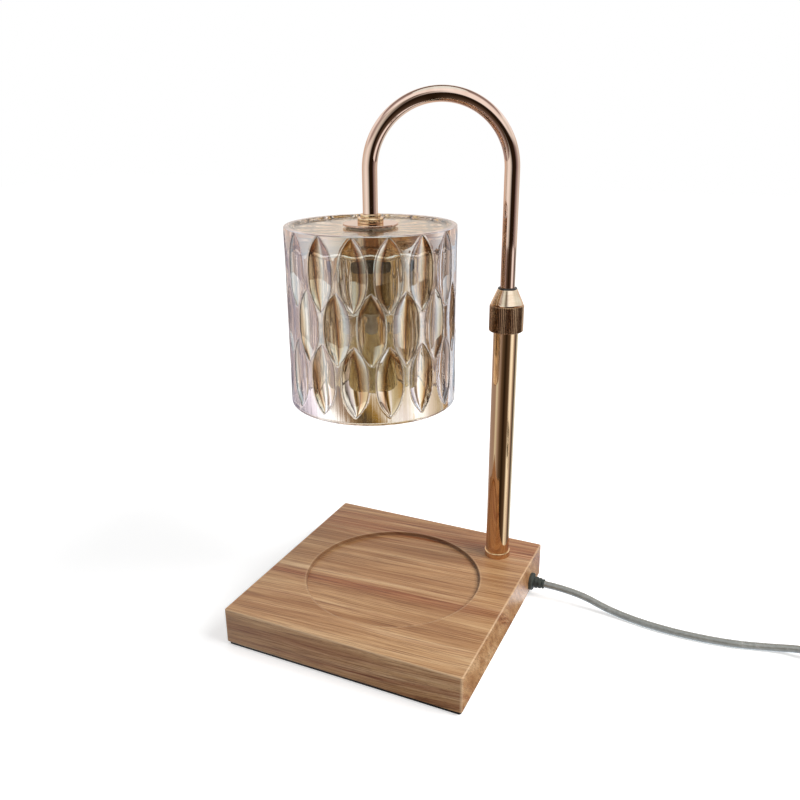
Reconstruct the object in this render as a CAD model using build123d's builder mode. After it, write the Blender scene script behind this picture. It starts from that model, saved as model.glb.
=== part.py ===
from build123d import *
import math
import os

# Candle-warming lamp. A wooden base has a shallow recess for the scented candle and a pole in its back
# right corner. A gooseneck tube slides and turns in the pole, held by a knurled lock nut, and carries a
# pressed-glass shade over a reflector bulb. The lead leaves the base at the right side and has a dimmer
# and a plug on it. Millimetres, +Z up, origin at the middle of the base on the surface it stands on.

os.makedirs("parts", exist_ok=True)

# Clearances
press = 0.02  # radial, between pieces of one body that are pressed, screwed or glued together
running = 0.05  # radial, between a shaft and the bore it turns or slides in
loose = 0.3  # round pieces that only pass through a hole

# Base
base_size = 160
board_thick = 24
board_corner = 1.4
board_edge = 0.8
pad_thick = 2
pad_inset = 1.2
recess_dia = 116
recess_depth = 2.5
recess_chamfer = 0.5

# Pole and its fixing
pole_inset = 25
pole_dia = 16
pole_wall = 1
pole_length = 178
foot_ring_dia = 17.6
foot_ring_height = 4
foot_ring_chamfer = 0.4
plug_height = 14
nipple_dia = 10
nipple_bore = 7
counterbore_dia = 26
counterbore_depth = 14
base_washer_dia = 24
base_washer_thick = 1.5
base_nut_flats = 14
base_nut_height = 5
nipple_end = 1

# Lock nut and collet
nut_overlap = 16
knurl_dia = 21.8
knurl_height = 17
knurl_count = 48
knurl_depth = 0.5
knurl_chamfer = 0.5
cone_base_dia = 20.6
cone_top_dia = 12.4
cone_height = 10
lip_dia = 12
lip_height = 0.8
lip_spigot = 3
lip_wall = 0.6
collet_head_dia = 15.4
collet_top_dia = 12.4
collet_head_height = 6
collet_flange = 1.5
collet_barrel = 8
collet_slot = 1
nut_gap = 0.4

# Gooseneck
tube_dia = 10
tube_wall = 1
bend_radius = 42.5
arm_heading = 204.1
exposed_leg = 72
drop_leg = 25.5
bush_height = 10
travel_up = 40
thread_below = 12

# Shade
shade_dia = 106
shade_height = 112
shade_wall = 5
shade_plate = 9.5
shade_rim_width = 5
shade_rim_height = 1.5
shade_hole = 10.8
ceiling_chamfer = 2.5
rim_chamfer = 1.2
top_chamfer = 0.7
leaf_count = 16
leaf_rows = 3
leaf_length = 42
leaf_depth = 2.2
leaf_hollow_radius = 23.8
leaf_tip_clear = 0.03
leaf_steps = 3
leaf_slice = 50
first_row_height = 26.9
row_pitch = 31.35
leaf_turn = 296.4

# Pieces that clamp the shade
gasket_thick = 1
top_gasket_dia = 30
shade_washer_dia = 34
shade_washer_thick = 1.2
shade_nut_dia = 16
shade_nut_height = 3.5
shade_collar_dia = 12.6
shade_collar_height = 2
shade_nut_chamfer = 1
shade_collar_chamfer = 0.5
under_gasket_dia = 26
under_washer_dia = 24
under_washer_thick = 1.2
under_nut_flats = 14
under_nut_height = 4

# Lampholder and reflector bulb with two locking pins
cap_top_dia = 20
cap_dia = 30
cap_height = 10
cap_wall = 2
cap_rib = 1
cap_rib_count = 20
holder_dia = 30
holder_height = 24.5
holder_face_thick = 2
holder_chamber_dia = 18
holder_chamber_depth = 8
wire_hole_dia = 4
holder_screw_dia = 3
holder_screw_head_dia = 5
holder_screw_head_height = 1.8
holder_screw_length = 12
holder_screw_circle = 12
holder_screw_chamfer = 0.9
contact_width = 4
contact_gap = 0.2
pin_pitch = 10
pin_neck_dia = 2.6
pin_head_dia = 4.8
pin_head_thick = 2
pin_head_chamfer = 0.5
pin_rise = 0.3
pin_depth = 4
slot_clear = 0.3
unlock_turn = 25
seat_gap = 0.1
bulb_base_top_dia = 18
bulb_base_dia = 23
bulb_base_height = 13
bulb_socket_depth = 4
bulb_dia = 50
bulb_neck_dia = 20
bulb_length = 46.5
bulb_wall = 1.3
bulb_bulge = 1.6
bulb_collar = 2
lens_thick = 1.6
capsule_dia = 8
capsule_length = 24
capsule_chamfer = 2.4

# Wiring inside the lamp
core_dia = 3.4
slack_sway = 3.5
slack_waves = 4
slack_straight = 8
wire_sides = 8
base_wire_height = 4.8
base_wire_straight = 2.5
base_wire_slope = 4
bend_share = 0.45  # of the shorter run, taken by the arc at a corner of a path

# Mains lead
cord_dia = 4.8
cord_sides = 8
gap_samples = 900
gap_skip = 30
gland_height = 10
gland_barrel_dia = 8
gland_barrel_length = 11.5
gland_flange_dia = 12
gland_flange_thick = 2.4
gland_nose_dia = 8.6
gland_nose_tip_dia = 6.4
gland_nose_length = 7.6
gland_flange_chamfer = 0.8

# Dimmer on the lead
dimmer_x = 264
dimmer_y = 56
dimmer_length = 64
dimmer_width = 26
dimmer_height = 17
dimmer_split = 6
dimmer_wall = 1.6
dimmer_round = 12
dimmer_lid_chamfer = 1.5
dimmer_foot_chamfer = 0.8
cord_hold = 4
wheel_dia = 16
wheel_thick = 6
wheel_height = 12
wheel_notches = 24
wheel_notch_dia = 1
wheel_gap = 0.4
axle_dia = 3
bearing_thick = 2.6
bearing_width = 7
bearing_top = 15
circuit_x = 305.5
circuit_y = 52.6
circuit_length = 15
circuit_width = 10.4
circuit_thick = 1.2
switch_length = 8
switch_height = 5
dimmer_screw_dia = 2.6
dimmer_screw_head_dia = 4.6
dimmer_screw_head_height = 1.6
dimmer_screw_sunk = 0.6
dimmer_screw_length = 9
dimmer_boss_dia = 6.4
dimmer_screw_along = 19
dimmer_screw_across = 7

# Coil of the lead that is put away
coil_x = 361.5
coil_y = 4
coil_start = 20.5
coil_outer_radius = 36.4
coil_step = 2.65
coil_turns_in = 7
climb_radius = 17.6
coil_second_radius = 20.5
coil_turns_out = 6
coil_tail = 28

# Plug with two round pins
plug_nose_dia = 8.4
plug_nose_wall = 0.6
plug_nose_length = 10
plug_length = 27
plug_width = 35
plug_neck_width = 15
plug_shoulder = 12
plug_edge = 2
plug_pin_dia = 4
plug_pin_length = 19
plug_pin_pitch = 18.6
plug_pin_chamfer = 1.2
plug_pin_root = 6

# Places worked out from the sizes above
board_top = pad_thick + board_thick
pole_x = base_size / 2 - pole_inset
pole_y = base_size / 2 - pole_inset
pole_bore = pole_dia - 2 * pole_wall
pole_top = board_top + pole_length
nut_bottom = pole_top - nut_overlap
cone_bottom = nut_bottom + knurl_height
nut_top = cone_bottom + cone_height
bend_start = nut_top + exposed_leg
bush_top = pole_top - collet_barrel - travel_up
tube_bottom = bush_top - bush_height
heading = math.radians(arm_heading)
shade_x = pole_x + 2 * bend_radius * math.cos(heading)
shade_y = pole_y + 2 * bend_radius * math.sin(heading)
shade_nut_top = bend_start - drop_leg
washer_top = shade_nut_top - shade_collar_height - shade_nut_height
disc_top = washer_top - shade_washer_thick - gasket_thick
shade_top = disc_top + shade_rim_height
shade_bottom = shade_top - shade_height
ceiling = disc_top - shade_plate
under_washer_bottom = ceiling - gasket_thick - under_washer_thick
under_nut_bottom = under_washer_bottom - under_nut_height
tube_end = ceiling - thread_below
cap_bottom = under_nut_bottom - cap_height
face_top = cap_bottom - holder_height
holder_bottom = face_top - holder_face_thick
chamber_top = face_top + holder_chamber_depth
bulb_top = holder_bottom - seat_gap
bulb_rim = bulb_top - bulb_length
cord_rest = cord_dia / 2
coil_high = cord_rest + 2 * coil_step
nose_tip = base_size / 2 + gland_flange_thick + gland_nose_length
dimmer_end = dimmer_x + dimmer_length
wheel_x = dimmer_x + dimmer_length / 2

pole_axis = Axis((pole_x, pole_y, 0), (0, 0, 1))
shade_axis = Axis((shade_x, shade_y, 0), (0, 0, 1))
pole_section = Plane(origin=(pole_x, pole_y, 0), x_dir=(1, 0, 0), z_dir=(0, -1, 0))
shade_section = Plane(origin=(shade_x, shade_y, 0), x_dir=(1, 0, 0), z_dir=(0, -1, 0))


def level(x, y, z):
    """A horizontal plane at a point."""
    return Plane(origin=(x, y, z))


# Wooden board with the candle recess, the pole's hole and the drilled way for the lead
with BuildPart() as board:
    with BuildSketch(level(0, 0, pad_thick)):
        RectangleRounded(base_size, base_size, board_corner)
    extrude(amount=board_thick)
    fillet(board.edges().group_by(Axis.Z)[-1], board_edge)
    fillet(board.edges().group_by(Axis.Z)[0], board_edge)
    with BuildSketch(level(0, 0, board_top)):
        Circle(recess_dia / 2)
    extrude(amount=-recess_depth, mode=Mode.SUBTRACT)
    recess_rim = board.edges().filter_by(GeomType.CIRCLE).group_by(Axis.Z)[-1]
    chamfer(recess_rim.sort_by(SortBy.LENGTH)[-1], recess_chamfer)
    with BuildSketch(level(pole_x, pole_y, pad_thick)):
        Circle(nipple_dia / 2 + loose)
    extrude(amount=board_thick, mode=Mode.SUBTRACT)
    with BuildSketch(level(pole_x, pole_y, pad_thick)):
        Circle(counterbore_dia / 2)
    extrude(amount=counterbore_depth, mode=Mode.SUBTRACT)
    with BuildSketch(Plane.YZ.offset(base_size / 2)):
        with Locations((pole_y, gland_height)):
            Circle(gland_barrel_dia / 2)
    extrude(amount=-pole_inset, mode=Mode.SUBTRACT)
board.part.label = "base_board"
export_step(board.part, "parts/base_board.step")

# Foam pad glued under the board
with BuildPart() as pad:
    with BuildSketch():
        RectangleRounded(base_size - 2 * pad_inset, base_size - 2 * pad_inset, board_corner)
    extrude(amount=pad_thick)
pad.part.label = "base_pad"
export_step(pad.part, "parts/base_pad.step")

# Ring that hides the joint between pole and board
with BuildPart() as foot_ring:
    with BuildSketch(level(pole_x, pole_y, board_top)):
        Circle(foot_ring_dia / 2)
        Circle(pole_dia / 2 + press, mode=Mode.SUBTRACT)
    extrude(amount=foot_ring_height)
    outer_rim = foot_ring.edges().group_by(Axis.Z)[-1].sort_by(SortBy.LENGTH)[-1]
    chamfer(outer_rim, foot_ring_chamfer)
foot_ring.part.label = "pole_foot_ring"
export_step(foot_ring.part, "parts/pole_foot_ring.step")

# Pole
with BuildPart() as pole:
    with BuildSketch(level(pole_x, pole_y, board_top)):
        Circle(pole_dia / 2)
        Circle(pole_bore / 2, mode=Mode.SUBTRACT)
    extrude(amount=pole_length)
pole.part.label = "pole_tube"
export_step(pole.part, "parts/pole_tube.step")

# Threaded plug in the foot of the pole
with BuildPart() as pole_plug:
    with BuildSketch(level(pole_x, pole_y, board_top)):
        Circle(pole_bore / 2 - press)
        Circle(nipple_dia / 2 + press, mode=Mode.SUBTRACT)
    extrude(amount=plug_height)
pole_plug.part.label = "pole_plug"
export_step(pole_plug.part, "parts/pole_plug.step")

# Hollow threaded rod that clamps the pole to the board
base_nut_bottom = pad_thick + counterbore_depth - base_washer_thick - base_nut_height
nipple_bottom = base_nut_bottom - nipple_end
nipple_top = board_top + plug_height
with BuildPart() as nipple:
    with BuildSketch(level(pole_x, pole_y, nipple_bottom)):
        Circle(nipple_dia / 2)
        Circle(nipple_bore / 2, mode=Mode.SUBTRACT)
    extrude(amount=nipple_top - nipple_bottom)
nipple.part.label = "pole_nipple"
export_step(nipple.part, "parts/pole_nipple.step")

with BuildPart() as base_washer:
    with BuildSketch(level(pole_x, pole_y, base_nut_bottom + base_nut_height)):
        Circle(base_washer_dia / 2)
        Circle(nipple_dia / 2 + loose, mode=Mode.SUBTRACT)
    extrude(amount=base_washer_thick)
base_washer.part.label = "base_washer"
export_step(base_washer.part, "parts/base_washer.step")

with BuildPart() as base_nut:
    with BuildSketch(level(pole_x, pole_y, base_nut_bottom)):
        RegularPolygon(base_nut_flats / 2, 6, major_radius=False)
        Circle(nipple_dia / 2 + press, mode=Mode.SUBTRACT)
    extrude(amount=base_nut_height)
base_nut.part.label = "base_nut"
export_step(base_nut.part, "parts/base_nut.step")

# Split collet that grips the gooseneck when the lock nut presses its head together
collet_seat = pole_top + collet_flange
with BuildPart() as collet:
    with BuildSketch(pole_section):
        with BuildLine():
            Polyline(
                (tube_dia / 2 + running, pole_top - collet_barrel),
                (pole_bore / 2 - press, pole_top - collet_barrel),
                (pole_bore / 2 - press, pole_top),
                (collet_head_dia / 2, pole_top),
                (collet_head_dia / 2, collet_seat),
                (collet_top_dia / 2, pole_top + collet_head_height),
                (tube_dia / 2 + running, pole_top + collet_head_height),
                close=True,
            )
        make_face()
    revolve(axis=pole_axis)
    with BuildSketch(level(pole_x, pole_y, pole_top + collet_head_height)):
        Rectangle(pole_dia, collet_slot)
        Rectangle(collet_slot, pole_dia)
    extrude(amount=-collet_head_height, mode=Mode.SUBTRACT)
collet.part.label = "collet"
export_step(collet.part, "parts/collet.step")

# Lock nut: knurled grip below, polished cone above, hollow over the collet's head
lip_spigot_dia = tube_dia + 2 * running + 2 * lip_wall
nut_mouth = lip_spigot_dia / 2 + press
lip_ledge = nut_top - lip_spigot
with BuildPart() as lock_nut:
    with BuildSketch(pole_section):
        with BuildLine():
            Polyline(
                (pole_dia / 2 + running, nut_bottom),
                (knurl_dia / 2 - knurl_chamfer, nut_bottom),
                (knurl_dia / 2, nut_bottom + knurl_chamfer),
                (knurl_dia / 2, cone_bottom - knurl_chamfer),
                (knurl_dia / 2 - knurl_chamfer, cone_bottom),
                (cone_base_dia / 2, cone_bottom),
                (cone_top_dia / 2, nut_top),
                (nut_mouth, nut_top),
                (nut_mouth, lip_ledge),
                (collet_top_dia / 2 + nut_gap, pole_top + collet_head_height + nut_gap / 2),
                (pole_dia / 2 + running, collet_seat),
                close=True,
            )
        make_face()
    revolve(axis=pole_axis)
    with BuildSketch(level(pole_x, pole_y, nut_bottom)):
        with PolarLocations(knurl_dia / 2, knurl_count):
            Polygon(
                (-knurl_depth, 0),
                (knurl_depth / 2, knurl_depth),
                (knurl_depth / 2, -knurl_depth),
                align=None,
            )
    extrude(amount=knurl_height, mode=Mode.SUBTRACT)
lock_nut.part.label = "lock_nut"
export_step(lock_nut.part, "parts/lock_nut.step")

# Plastic lip ring in the mouth of the nut
with BuildPart() as lip_ring:
    with BuildSketch(level(pole_x, pole_y, lip_ledge)):
        Circle(lip_spigot_dia / 2)
    extrude(amount=lip_spigot)
    with BuildSketch(level(pole_x, pole_y, nut_top)):
        Circle(lip_dia / 2)
    extrude(amount=lip_height)
    with BuildSketch(level(pole_x, pole_y, lip_ledge)):
        Circle(tube_dia / 2 + running)
    extrude(amount=lip_spigot + lip_height, mode=Mode.SUBTRACT)
lip_ring.part.label = "nut_lip_ring"
export_step(lip_ring.part, "parts/nut_lip_ring.step")

# Bush on the lower end of the gooseneck: it guides the tube and stops it at the collet
with BuildPart() as guide_bush:
    with BuildSketch(level(pole_x, pole_y, tube_bottom)):
        Circle(pole_bore / 2 - running)
        Circle(tube_dia / 2 + running, mode=Mode.SUBTRACT)
    extrude(amount=bush_height)
guide_bush.part.label = "guide_bush"
export_step(guide_bush.part, "parts/guide_bush.step")


def arch_line(lowest, highest_leg, lowest_drop):
    """The middle line of the gooseneck between two heights."""
    top = Vector((pole_x + shade_x) / 2, (pole_y + shade_y) / 2, highest_leg + bend_radius)
    with BuildLine() as line:
        Line((pole_x, pole_y, lowest), (pole_x, pole_y, highest_leg))
        ThreePointArc((pole_x, pole_y, highest_leg), top, (shade_x, shade_y, highest_leg))
        Line((shade_x, shade_y, highest_leg), (shade_x, shade_y, lowest_drop))
    return line.wire()


# Gooseneck tube: straight mast, half circle and the short drop through the top of the shade
with BuildPart() as gooseneck:
    with BuildSketch(level(pole_x, pole_y, tube_bottom)):
        Circle(tube_dia / 2)
        Circle(tube_dia / 2 - tube_wall, mode=Mode.SUBTRACT)
    sweep(path=arch_line(tube_bottom, bend_start, tube_end))
gooseneck.part.label = "gooseneck_tube"
export_step(gooseneck.part, "parts/gooseneck_tube.step")

# Cutter for one leaf of the shade: a slice of a spindle that stands outside the glass. The spindle's side
# swells by the leaf's depth, so it leaves a shallow hollow that is pointed above and below.
leaf_root = leaf_hollow_radius - leaf_depth - leaf_tip_clear
leaf_half = leaf_length / 2
leaf_side = []
for step in range(-leaf_steps, leaf_steps + 1):
    swell = (1 + math.cos(math.pi * step / leaf_steps)) / 2
    leaf_side.append((leaf_root + (leaf_depth + leaf_tip_clear) * swell, leaf_half * step / leaf_steps))
slice_start = math.radians(180 - leaf_slice / 2)
slice_plane = Plane(
    origin=(0, 0, 0),
    x_dir=(math.cos(slice_start), math.sin(slice_start), 0),
    z_dir=(math.sin(slice_start), -math.cos(slice_start), 0),
)
with BuildPart() as leaf_cutter:
    with BuildSketch(slice_plane):
        with BuildLine():
            Polyline((0, -leaf_half), *leaf_side, (0, leaf_half), close=True)
        make_face()
    revolve(axis=Axis.Z, revolution_arc=leaf_slice)

# Glass shade: a thick-bottomed tumbler turned over, with three staggered rows of pointed leaves
shade_radius = shade_dia / 2
inner_radius = shade_radius - shade_wall
with BuildPart() as shade:
    with BuildSketch(shade_section):
        with BuildLine():
            Polyline(
                (shade_hole / 2, ceiling),
                (inner_radius, ceiling),
                (inner_radius, shade_bottom),
                (shade_radius, shade_bottom),
                (shade_radius, shade_top),
                (shade_radius - shade_rim_width, shade_top),
                (shade_radius - shade_rim_width - shade_rim_height, disc_top),
                (shade_hole / 2, disc_top),
                close=True,
            )
        glass_profile = make_face()
        corners = glass_profile.vertices()
        chamfer(corners.sort_by_distance((inner_radius, ceiling))[0], ceiling_chamfer)
    revolve(axis=shade_axis)
    chamfer(shade.edges().group_by(Axis.Z)[0], rim_chamfer)
    top_edge = shade.edges().group_by(Axis.Z)[-1].sort_by(SortBy.LENGTH)[-1]
    chamfer(top_edge, top_chamfer)
    for row in range(leaf_rows):
        row_height = shade_bottom + first_row_height + row * row_pitch
        row_turn = leaf_turn + (row + 1) % 2 * 180 / leaf_count
        with Locations(level(shade_x, shade_y, row_height)):
            with PolarLocations(shade_radius + leaf_hollow_radius - leaf_depth, leaf_count, row_turn):
                add(leaf_cutter.part, mode=Mode.SUBTRACT)
shade.part.label = "shade_glass"
export_step(shade.part, "parts/shade_glass.step")


def ring(bottom, outer_dia, inner_dia, thick):
    """A flat ring round the shade's axis, with its lower face at a height."""
    with BuildPart() as made:
        with BuildSketch(level(shade_x, shade_y, bottom)):
            Circle(outer_dia / 2)
            Circle(inner_dia / 2, mode=Mode.SUBTRACT)
        extrude(amount=thick)
    return made


# Gaskets and washers on both sides of the glass
top_gasket = ring(disc_top, top_gasket_dia, shade_hole, gasket_thick)
top_gasket.part.label = "top_gasket"
export_step(top_gasket.part, "parts/top_gasket.step")

shade_washer = ring(disc_top + gasket_thick, shade_washer_dia, tube_dia + 2 * press, shade_washer_thick)
shade_washer.part.label = "shade_washer"
export_step(shade_washer.part, "parts/shade_washer.step")

under_gasket = ring(ceiling - gasket_thick, under_gasket_dia, shade_hole, gasket_thick)
under_gasket.part.label = "under_gasket"
export_step(under_gasket.part, "parts/under_gasket.step")

under_washer = ring(under_washer_bottom, under_washer_dia, tube_dia + 2 * press, under_washer_thick)
under_washer.part.label = "under_washer"
export_step(under_washer.part, "parts/under_washer.step")

# Round nut with a collar, on top of the shade
nut_step = washer_top + shade_nut_height
with BuildPart() as shade_nut:
    with BuildSketch(shade_section):
        with BuildLine():
            Polyline(
                (tube_dia / 2 + press, washer_top),
                (shade_nut_dia / 2, washer_top),
                (shade_nut_dia / 2, nut_step - shade_nut_chamfer),
                (shade_nut_dia / 2 - shade_nut_chamfer, nut_step),
                (shade_collar_dia / 2, nut_step),
                (shade_collar_dia / 2, shade_nut_top),
                (tube_dia / 2 + press, shade_nut_top),
                close=True,
            )
        make_face()
    revolve(axis=shade_axis)
    collar_edge = shade_nut.edges().group_by(Axis.Z)[-1].sort_by(SortBy.LENGTH)[-1]
    chamfer(collar_edge, shade_collar_chamfer)
shade_nut.part.label = "shade_nut"
export_step(shade_nut.part, "parts/shade_nut.step")

# Hexagon nut under the ceiling of the shade
with BuildPart() as under_nut:
    with BuildSketch(level(shade_x, shade_y, under_nut_bottom)):
        RegularPolygon(under_nut_flats / 2, 6, major_radius=False)
        Circle(tube_dia / 2 + press, mode=Mode.SUBTRACT)
    extrude(amount=under_nut_height)
under_nut.part.label = "under_nut"
export_step(under_nut.part, "parts/under_nut.step")

# Ribbed cap of the lampholder, screwed on the end of the gooseneck
with BuildPart() as holder_cap:
    with BuildSketch(shade_section):
        with BuildLine():
            Polyline(
                (tube_dia / 2 + press, under_nut_bottom),
                (cap_top_dia / 2, under_nut_bottom),
                (cap_dia / 2, under_nut_bottom - cap_height / 2),
                (cap_dia / 2, cap_bottom),
                (cap_dia / 2 - cap_wall, cap_bottom),
                (cap_dia / 2 - cap_wall, under_nut_bottom - cap_height / 2),
                (tube_dia / 2 + cap_wall, tube_end),
                (tube_dia / 2 + press, tube_end),
                close=True,
            )
        make_face()
    revolve(axis=shade_axis)
    with BuildSketch(level(shade_x, shade_y, cap_bottom)):
        with PolarLocations(cap_dia / 2, cap_rib_count):
            Circle(cap_rib / 2)
    extrude(amount=cap_height / 2)
holder_cap.part.label = "holder_cap"
export_step(holder_cap.part, "parts/holder_cap.step")

# Lampholder body with the chamber for the contacts and a hole for the wire
with BuildPart() as holder:
    with BuildSketch(level(shade_x, shade_y, face_top)):
        Circle(holder_dia / 2)
    extrude(amount=holder_height)
    with BuildSketch(level(shade_x, shade_y, face_top)):
        Circle(holder_chamber_dia / 2)
    extrude(amount=holder_chamber_depth, mode=Mode.SUBTRACT)
    with BuildSketch(level(shade_x, shade_y, chamber_top)):
        Circle(wire_hole_dia / 2)
    extrude(amount=holder_height - holder_chamber_depth, mode=Mode.SUBTRACT)
    with BuildSketch(level(shade_x, shade_y, face_top)):
        with PolarLocations(holder_screw_circle, 2, 90):
            Circle(holder_screw_dia / 2 + press)
    extrude(amount=holder_screw_length, mode=Mode.SUBTRACT)
holder.part.label = "lampholder_body"
export_step(holder.part, "parts/lampholder_body.step")

# Face plate with the two keyhole slots that the bulb's pins lock behind
pin_circle = pin_pitch / 2
lock_arc = Edge.make_circle(pin_circle, start_angle=-unlock_turn, end_angle=0)
with BuildPart() as holder_face:
    with BuildSketch(level(shade_x, shade_y, holder_bottom)):
        Circle(holder_dia / 2)
        with PolarLocations(0, 2):
            SlotArc(lock_arc, pin_neck_dia + 2 * slot_clear, mode=Mode.SUBTRACT)
        with PolarLocations(pin_circle, 2, -unlock_turn):
            Circle(pin_head_dia / 2 + slot_clear, mode=Mode.SUBTRACT)
        with PolarLocations(holder_screw_circle, 2, 90):
            Circle(holder_screw_dia / 2 + press, mode=Mode.SUBTRACT)
    extrude(amount=holder_face_thick)
holder_face.part.label = "lampholder_face"
export_step(holder_face.part, "parts/lampholder_face.step")

# Spring contacts above the pins
contact_bottom = face_top + pin_rise + pin_head_thick + contact_gap
with BuildPart() as contacts:
    with BuildSketch(level(shade_x, shade_y, contact_bottom)):
        with PolarLocations(pin_circle, 2):
            Rectangle(contact_width, contact_width)
    extrude(amount=chamber_top - contact_bottom)
contacts.part.label = "holder_contacts"
export_step(contacts.part, "parts/holder_contacts.step")

# Two screws that hold the face plate on the lampholder
with BuildPart() as holder_screws:
    with BuildSketch(level(shade_x, shade_y, holder_bottom)):
        with PolarLocations(holder_screw_circle, 2, 90):
            Circle(holder_screw_dia / 2)
    extrude(amount=holder_screw_length)
    with BuildSketch(level(shade_x, shade_y, holder_bottom)):
        with PolarLocations(holder_screw_circle, 2, 90):
            Circle(holder_screw_head_dia / 2)
    extrude(amount=-holder_screw_head_height)
    chamfer(holder_screws.edges().group_by(Axis.Z)[0], holder_screw_chamfer)
holder_screws.part.label = "holder_screws"
export_step(holder_screws.part, "parts/holder_screws.step")

# Base of the bulb, with a socket for the reflector's neck and holes for the pins
base_waist = bulb_top - bulb_base_height / 2
base_bottom = bulb_top - bulb_base_height
with BuildPart() as bulb_base:
    with BuildSketch(shade_section):
        with BuildLine():
            Polyline(
                (0, bulb_top),
                (bulb_base_top_dia / 2, bulb_top),
                (bulb_base_top_dia / 2, base_waist),
                (bulb_base_dia / 2, base_bottom + bulb_socket_depth),
                (bulb_base_dia / 2, base_bottom),
                (bulb_neck_dia / 2 + press, base_bottom),
                (bulb_neck_dia / 2 + press, base_bottom + bulb_socket_depth),
                (0, base_bottom + bulb_socket_depth),
                close=True,
            )
        make_face()
    revolve(axis=shade_axis)
    with BuildSketch(level(shade_x, shade_y, bulb_top)):
        with PolarLocations(pin_circle, 2):
            Circle(pin_neck_dia / 2 + press)
    extrude(amount=-pin_depth, mode=Mode.SUBTRACT)
bulb_base.part.label = "bulb_base"
export_step(bulb_base.part, "parts/bulb_base.step")

# Two locking pins
head_bottom = face_top + pin_rise
with BuildPart() as bulb_pins:
    with BuildSketch(level(shade_x, shade_y, bulb_top - pin_depth)):
        with PolarLocations(pin_circle, 2):
            Circle(pin_neck_dia / 2)
    extrude(amount=head_bottom - bulb_top + pin_depth)
    with BuildSketch(level(shade_x, shade_y, head_bottom)):
        with PolarLocations(pin_circle, 2):
            Circle(pin_head_dia / 2)
    extrude(amount=pin_head_thick)
    chamfer(bulb_pins.edges().group_by(Axis.Z)[-1], pin_head_chamfer)
bulb_pins.part.label = "bulb_pins"
export_step(bulb_pins.part, "parts/bulb_pins.step")

# Reflector: a bowl of even thickness
bowl_low = bulb_rim + bulb_collar
bowl_middle = (base_bottom + bowl_low) / 2
bowl_swell = (bulb_neck_dia + bulb_dia) / 4 + bulb_bulge
with BuildPart() as reflector:
    with BuildSketch(shade_section):
        with BuildLine():
            Polyline(
                (bulb_neck_dia / 2, base_bottom + bulb_socket_depth),
                (bulb_neck_dia / 2, base_bottom),
                (bowl_swell, bowl_middle),
                (bulb_dia / 2, bowl_low),
                (bulb_dia / 2, bulb_rim),
                (bulb_dia / 2 - bulb_wall, bulb_rim),
                (bulb_dia / 2 - bulb_wall, bowl_low),
                (bowl_swell - bulb_wall, bowl_middle),
                (bulb_neck_dia / 2 - bulb_wall, base_bottom),
                (bulb_neck_dia / 2 - bulb_wall, base_bottom + bulb_socket_depth),
                close=True,
            )
        make_face()
    revolve(axis=shade_axis)
reflector.part.label = "bulb_reflector"
export_step(reflector.part, "parts/bulb_reflector.step")

with BuildPart() as lens:
    with BuildSketch(level(shade_x, shade_y, bulb_rim)):
        Circle(bulb_dia / 2 - bulb_wall - press)
    extrude(amount=lens_thick)
lens.part.label = "bulb_lens"
export_step(lens.part, "parts/bulb_lens.step")

with BuildPart() as capsule:
    with BuildSketch(level(shade_x, shade_y, base_bottom + bulb_socket_depth)):
        Circle(capsule_dia / 2)
    extrude(amount=-capsule_length)
    chamfer(capsule.edges().group_by(Axis.Z)[0], capsule_chamfer)
capsule.part.label = "bulb_capsule"
export_step(capsule.part, "parts/bulb_capsule.step")

# Wire through the gooseneck to the lampholder
with BuildPart() as tube_wire:
    with BuildSketch(level(pole_x, pole_y, tube_bottom)):
        RegularPolygon(core_dia / 2, wire_sides)
    sweep(path=arch_line(tube_bottom, bend_start, chamber_top))
tube_wire.part.label = "tube_wire"
export_step(tube_wire.part, "parts/tube_wire.step")


def smooth_path(name, *places):
    """A line through corner points, each rounded by the radius that its shorter run allows."""
    corners = [Vector(place) for place in places]
    radii = []
    for before, corner, after in zip(corners, corners[1:], corners[2:]):
        run_in = corner - before
        run_out = after - corner
        half_turn = math.radians(run_in.get_angle(run_out)) / 2
        shorter = min(run_in.length, run_out.length)
        radii.append(bend_share * shorter / math.tan(half_turn))
    print(name, "radii", [round(radius, 1) for radius in radii])
    with BuildLine() as line:
        FilletPolyline(*corners, radius=radii)
    return line.wire()


# Slack in the wire below the gooseneck, which lets the tube slide
slack_length = tube_bottom - nipple_top
wave_places = [(pole_x, pole_y, nipple_top), (pole_x, pole_y, nipple_top + slack_straight)]
for wave in range(slack_waves):
    sway = slack_sway * (-1) ** wave
    wave_places.append((pole_x + sway, pole_y, nipple_top + slack_length * (wave + 1) / (slack_waves + 1)))
wave_places.append((pole_x, pole_y, tube_bottom - slack_straight))
wave_places.append((pole_x, pole_y, tube_bottom))
with BuildPart() as slack_wire:
    with BuildSketch(level(pole_x, pole_y, nipple_top)):
        RegularPolygon(core_dia / 2, wire_sides)
    sweep(path=smooth_path("slack wire", *wave_places))
slack_wire.part.label = "slack_wire"
export_step(slack_wire.part, "parts/slack_wire.step")

# Wire from the grommet through the nipple
barrel_end = base_size / 2 - gland_barrel_length
slope_start = barrel_end - base_wire_straight
base_wire_path = smooth_path(
    "base wire",
    (barrel_end, pole_y, gland_height),
    (slope_start, pole_y, gland_height),
    (slope_start - base_wire_slope, pole_y, base_wire_height),
    (pole_x, pole_y, base_wire_height),
    (pole_x, pole_y, nipple_top),
)
with BuildPart() as base_wire:
    with BuildSketch(Plane(base_wire_path @ 0, z_dir=base_wire_path % 0)):
        RegularPolygon(core_dia / 2, wire_sides)
    sweep(path=base_wire_path)
base_wire.part.label = "base_wire"
export_step(base_wire.part, "parts/base_wire.step")

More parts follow.
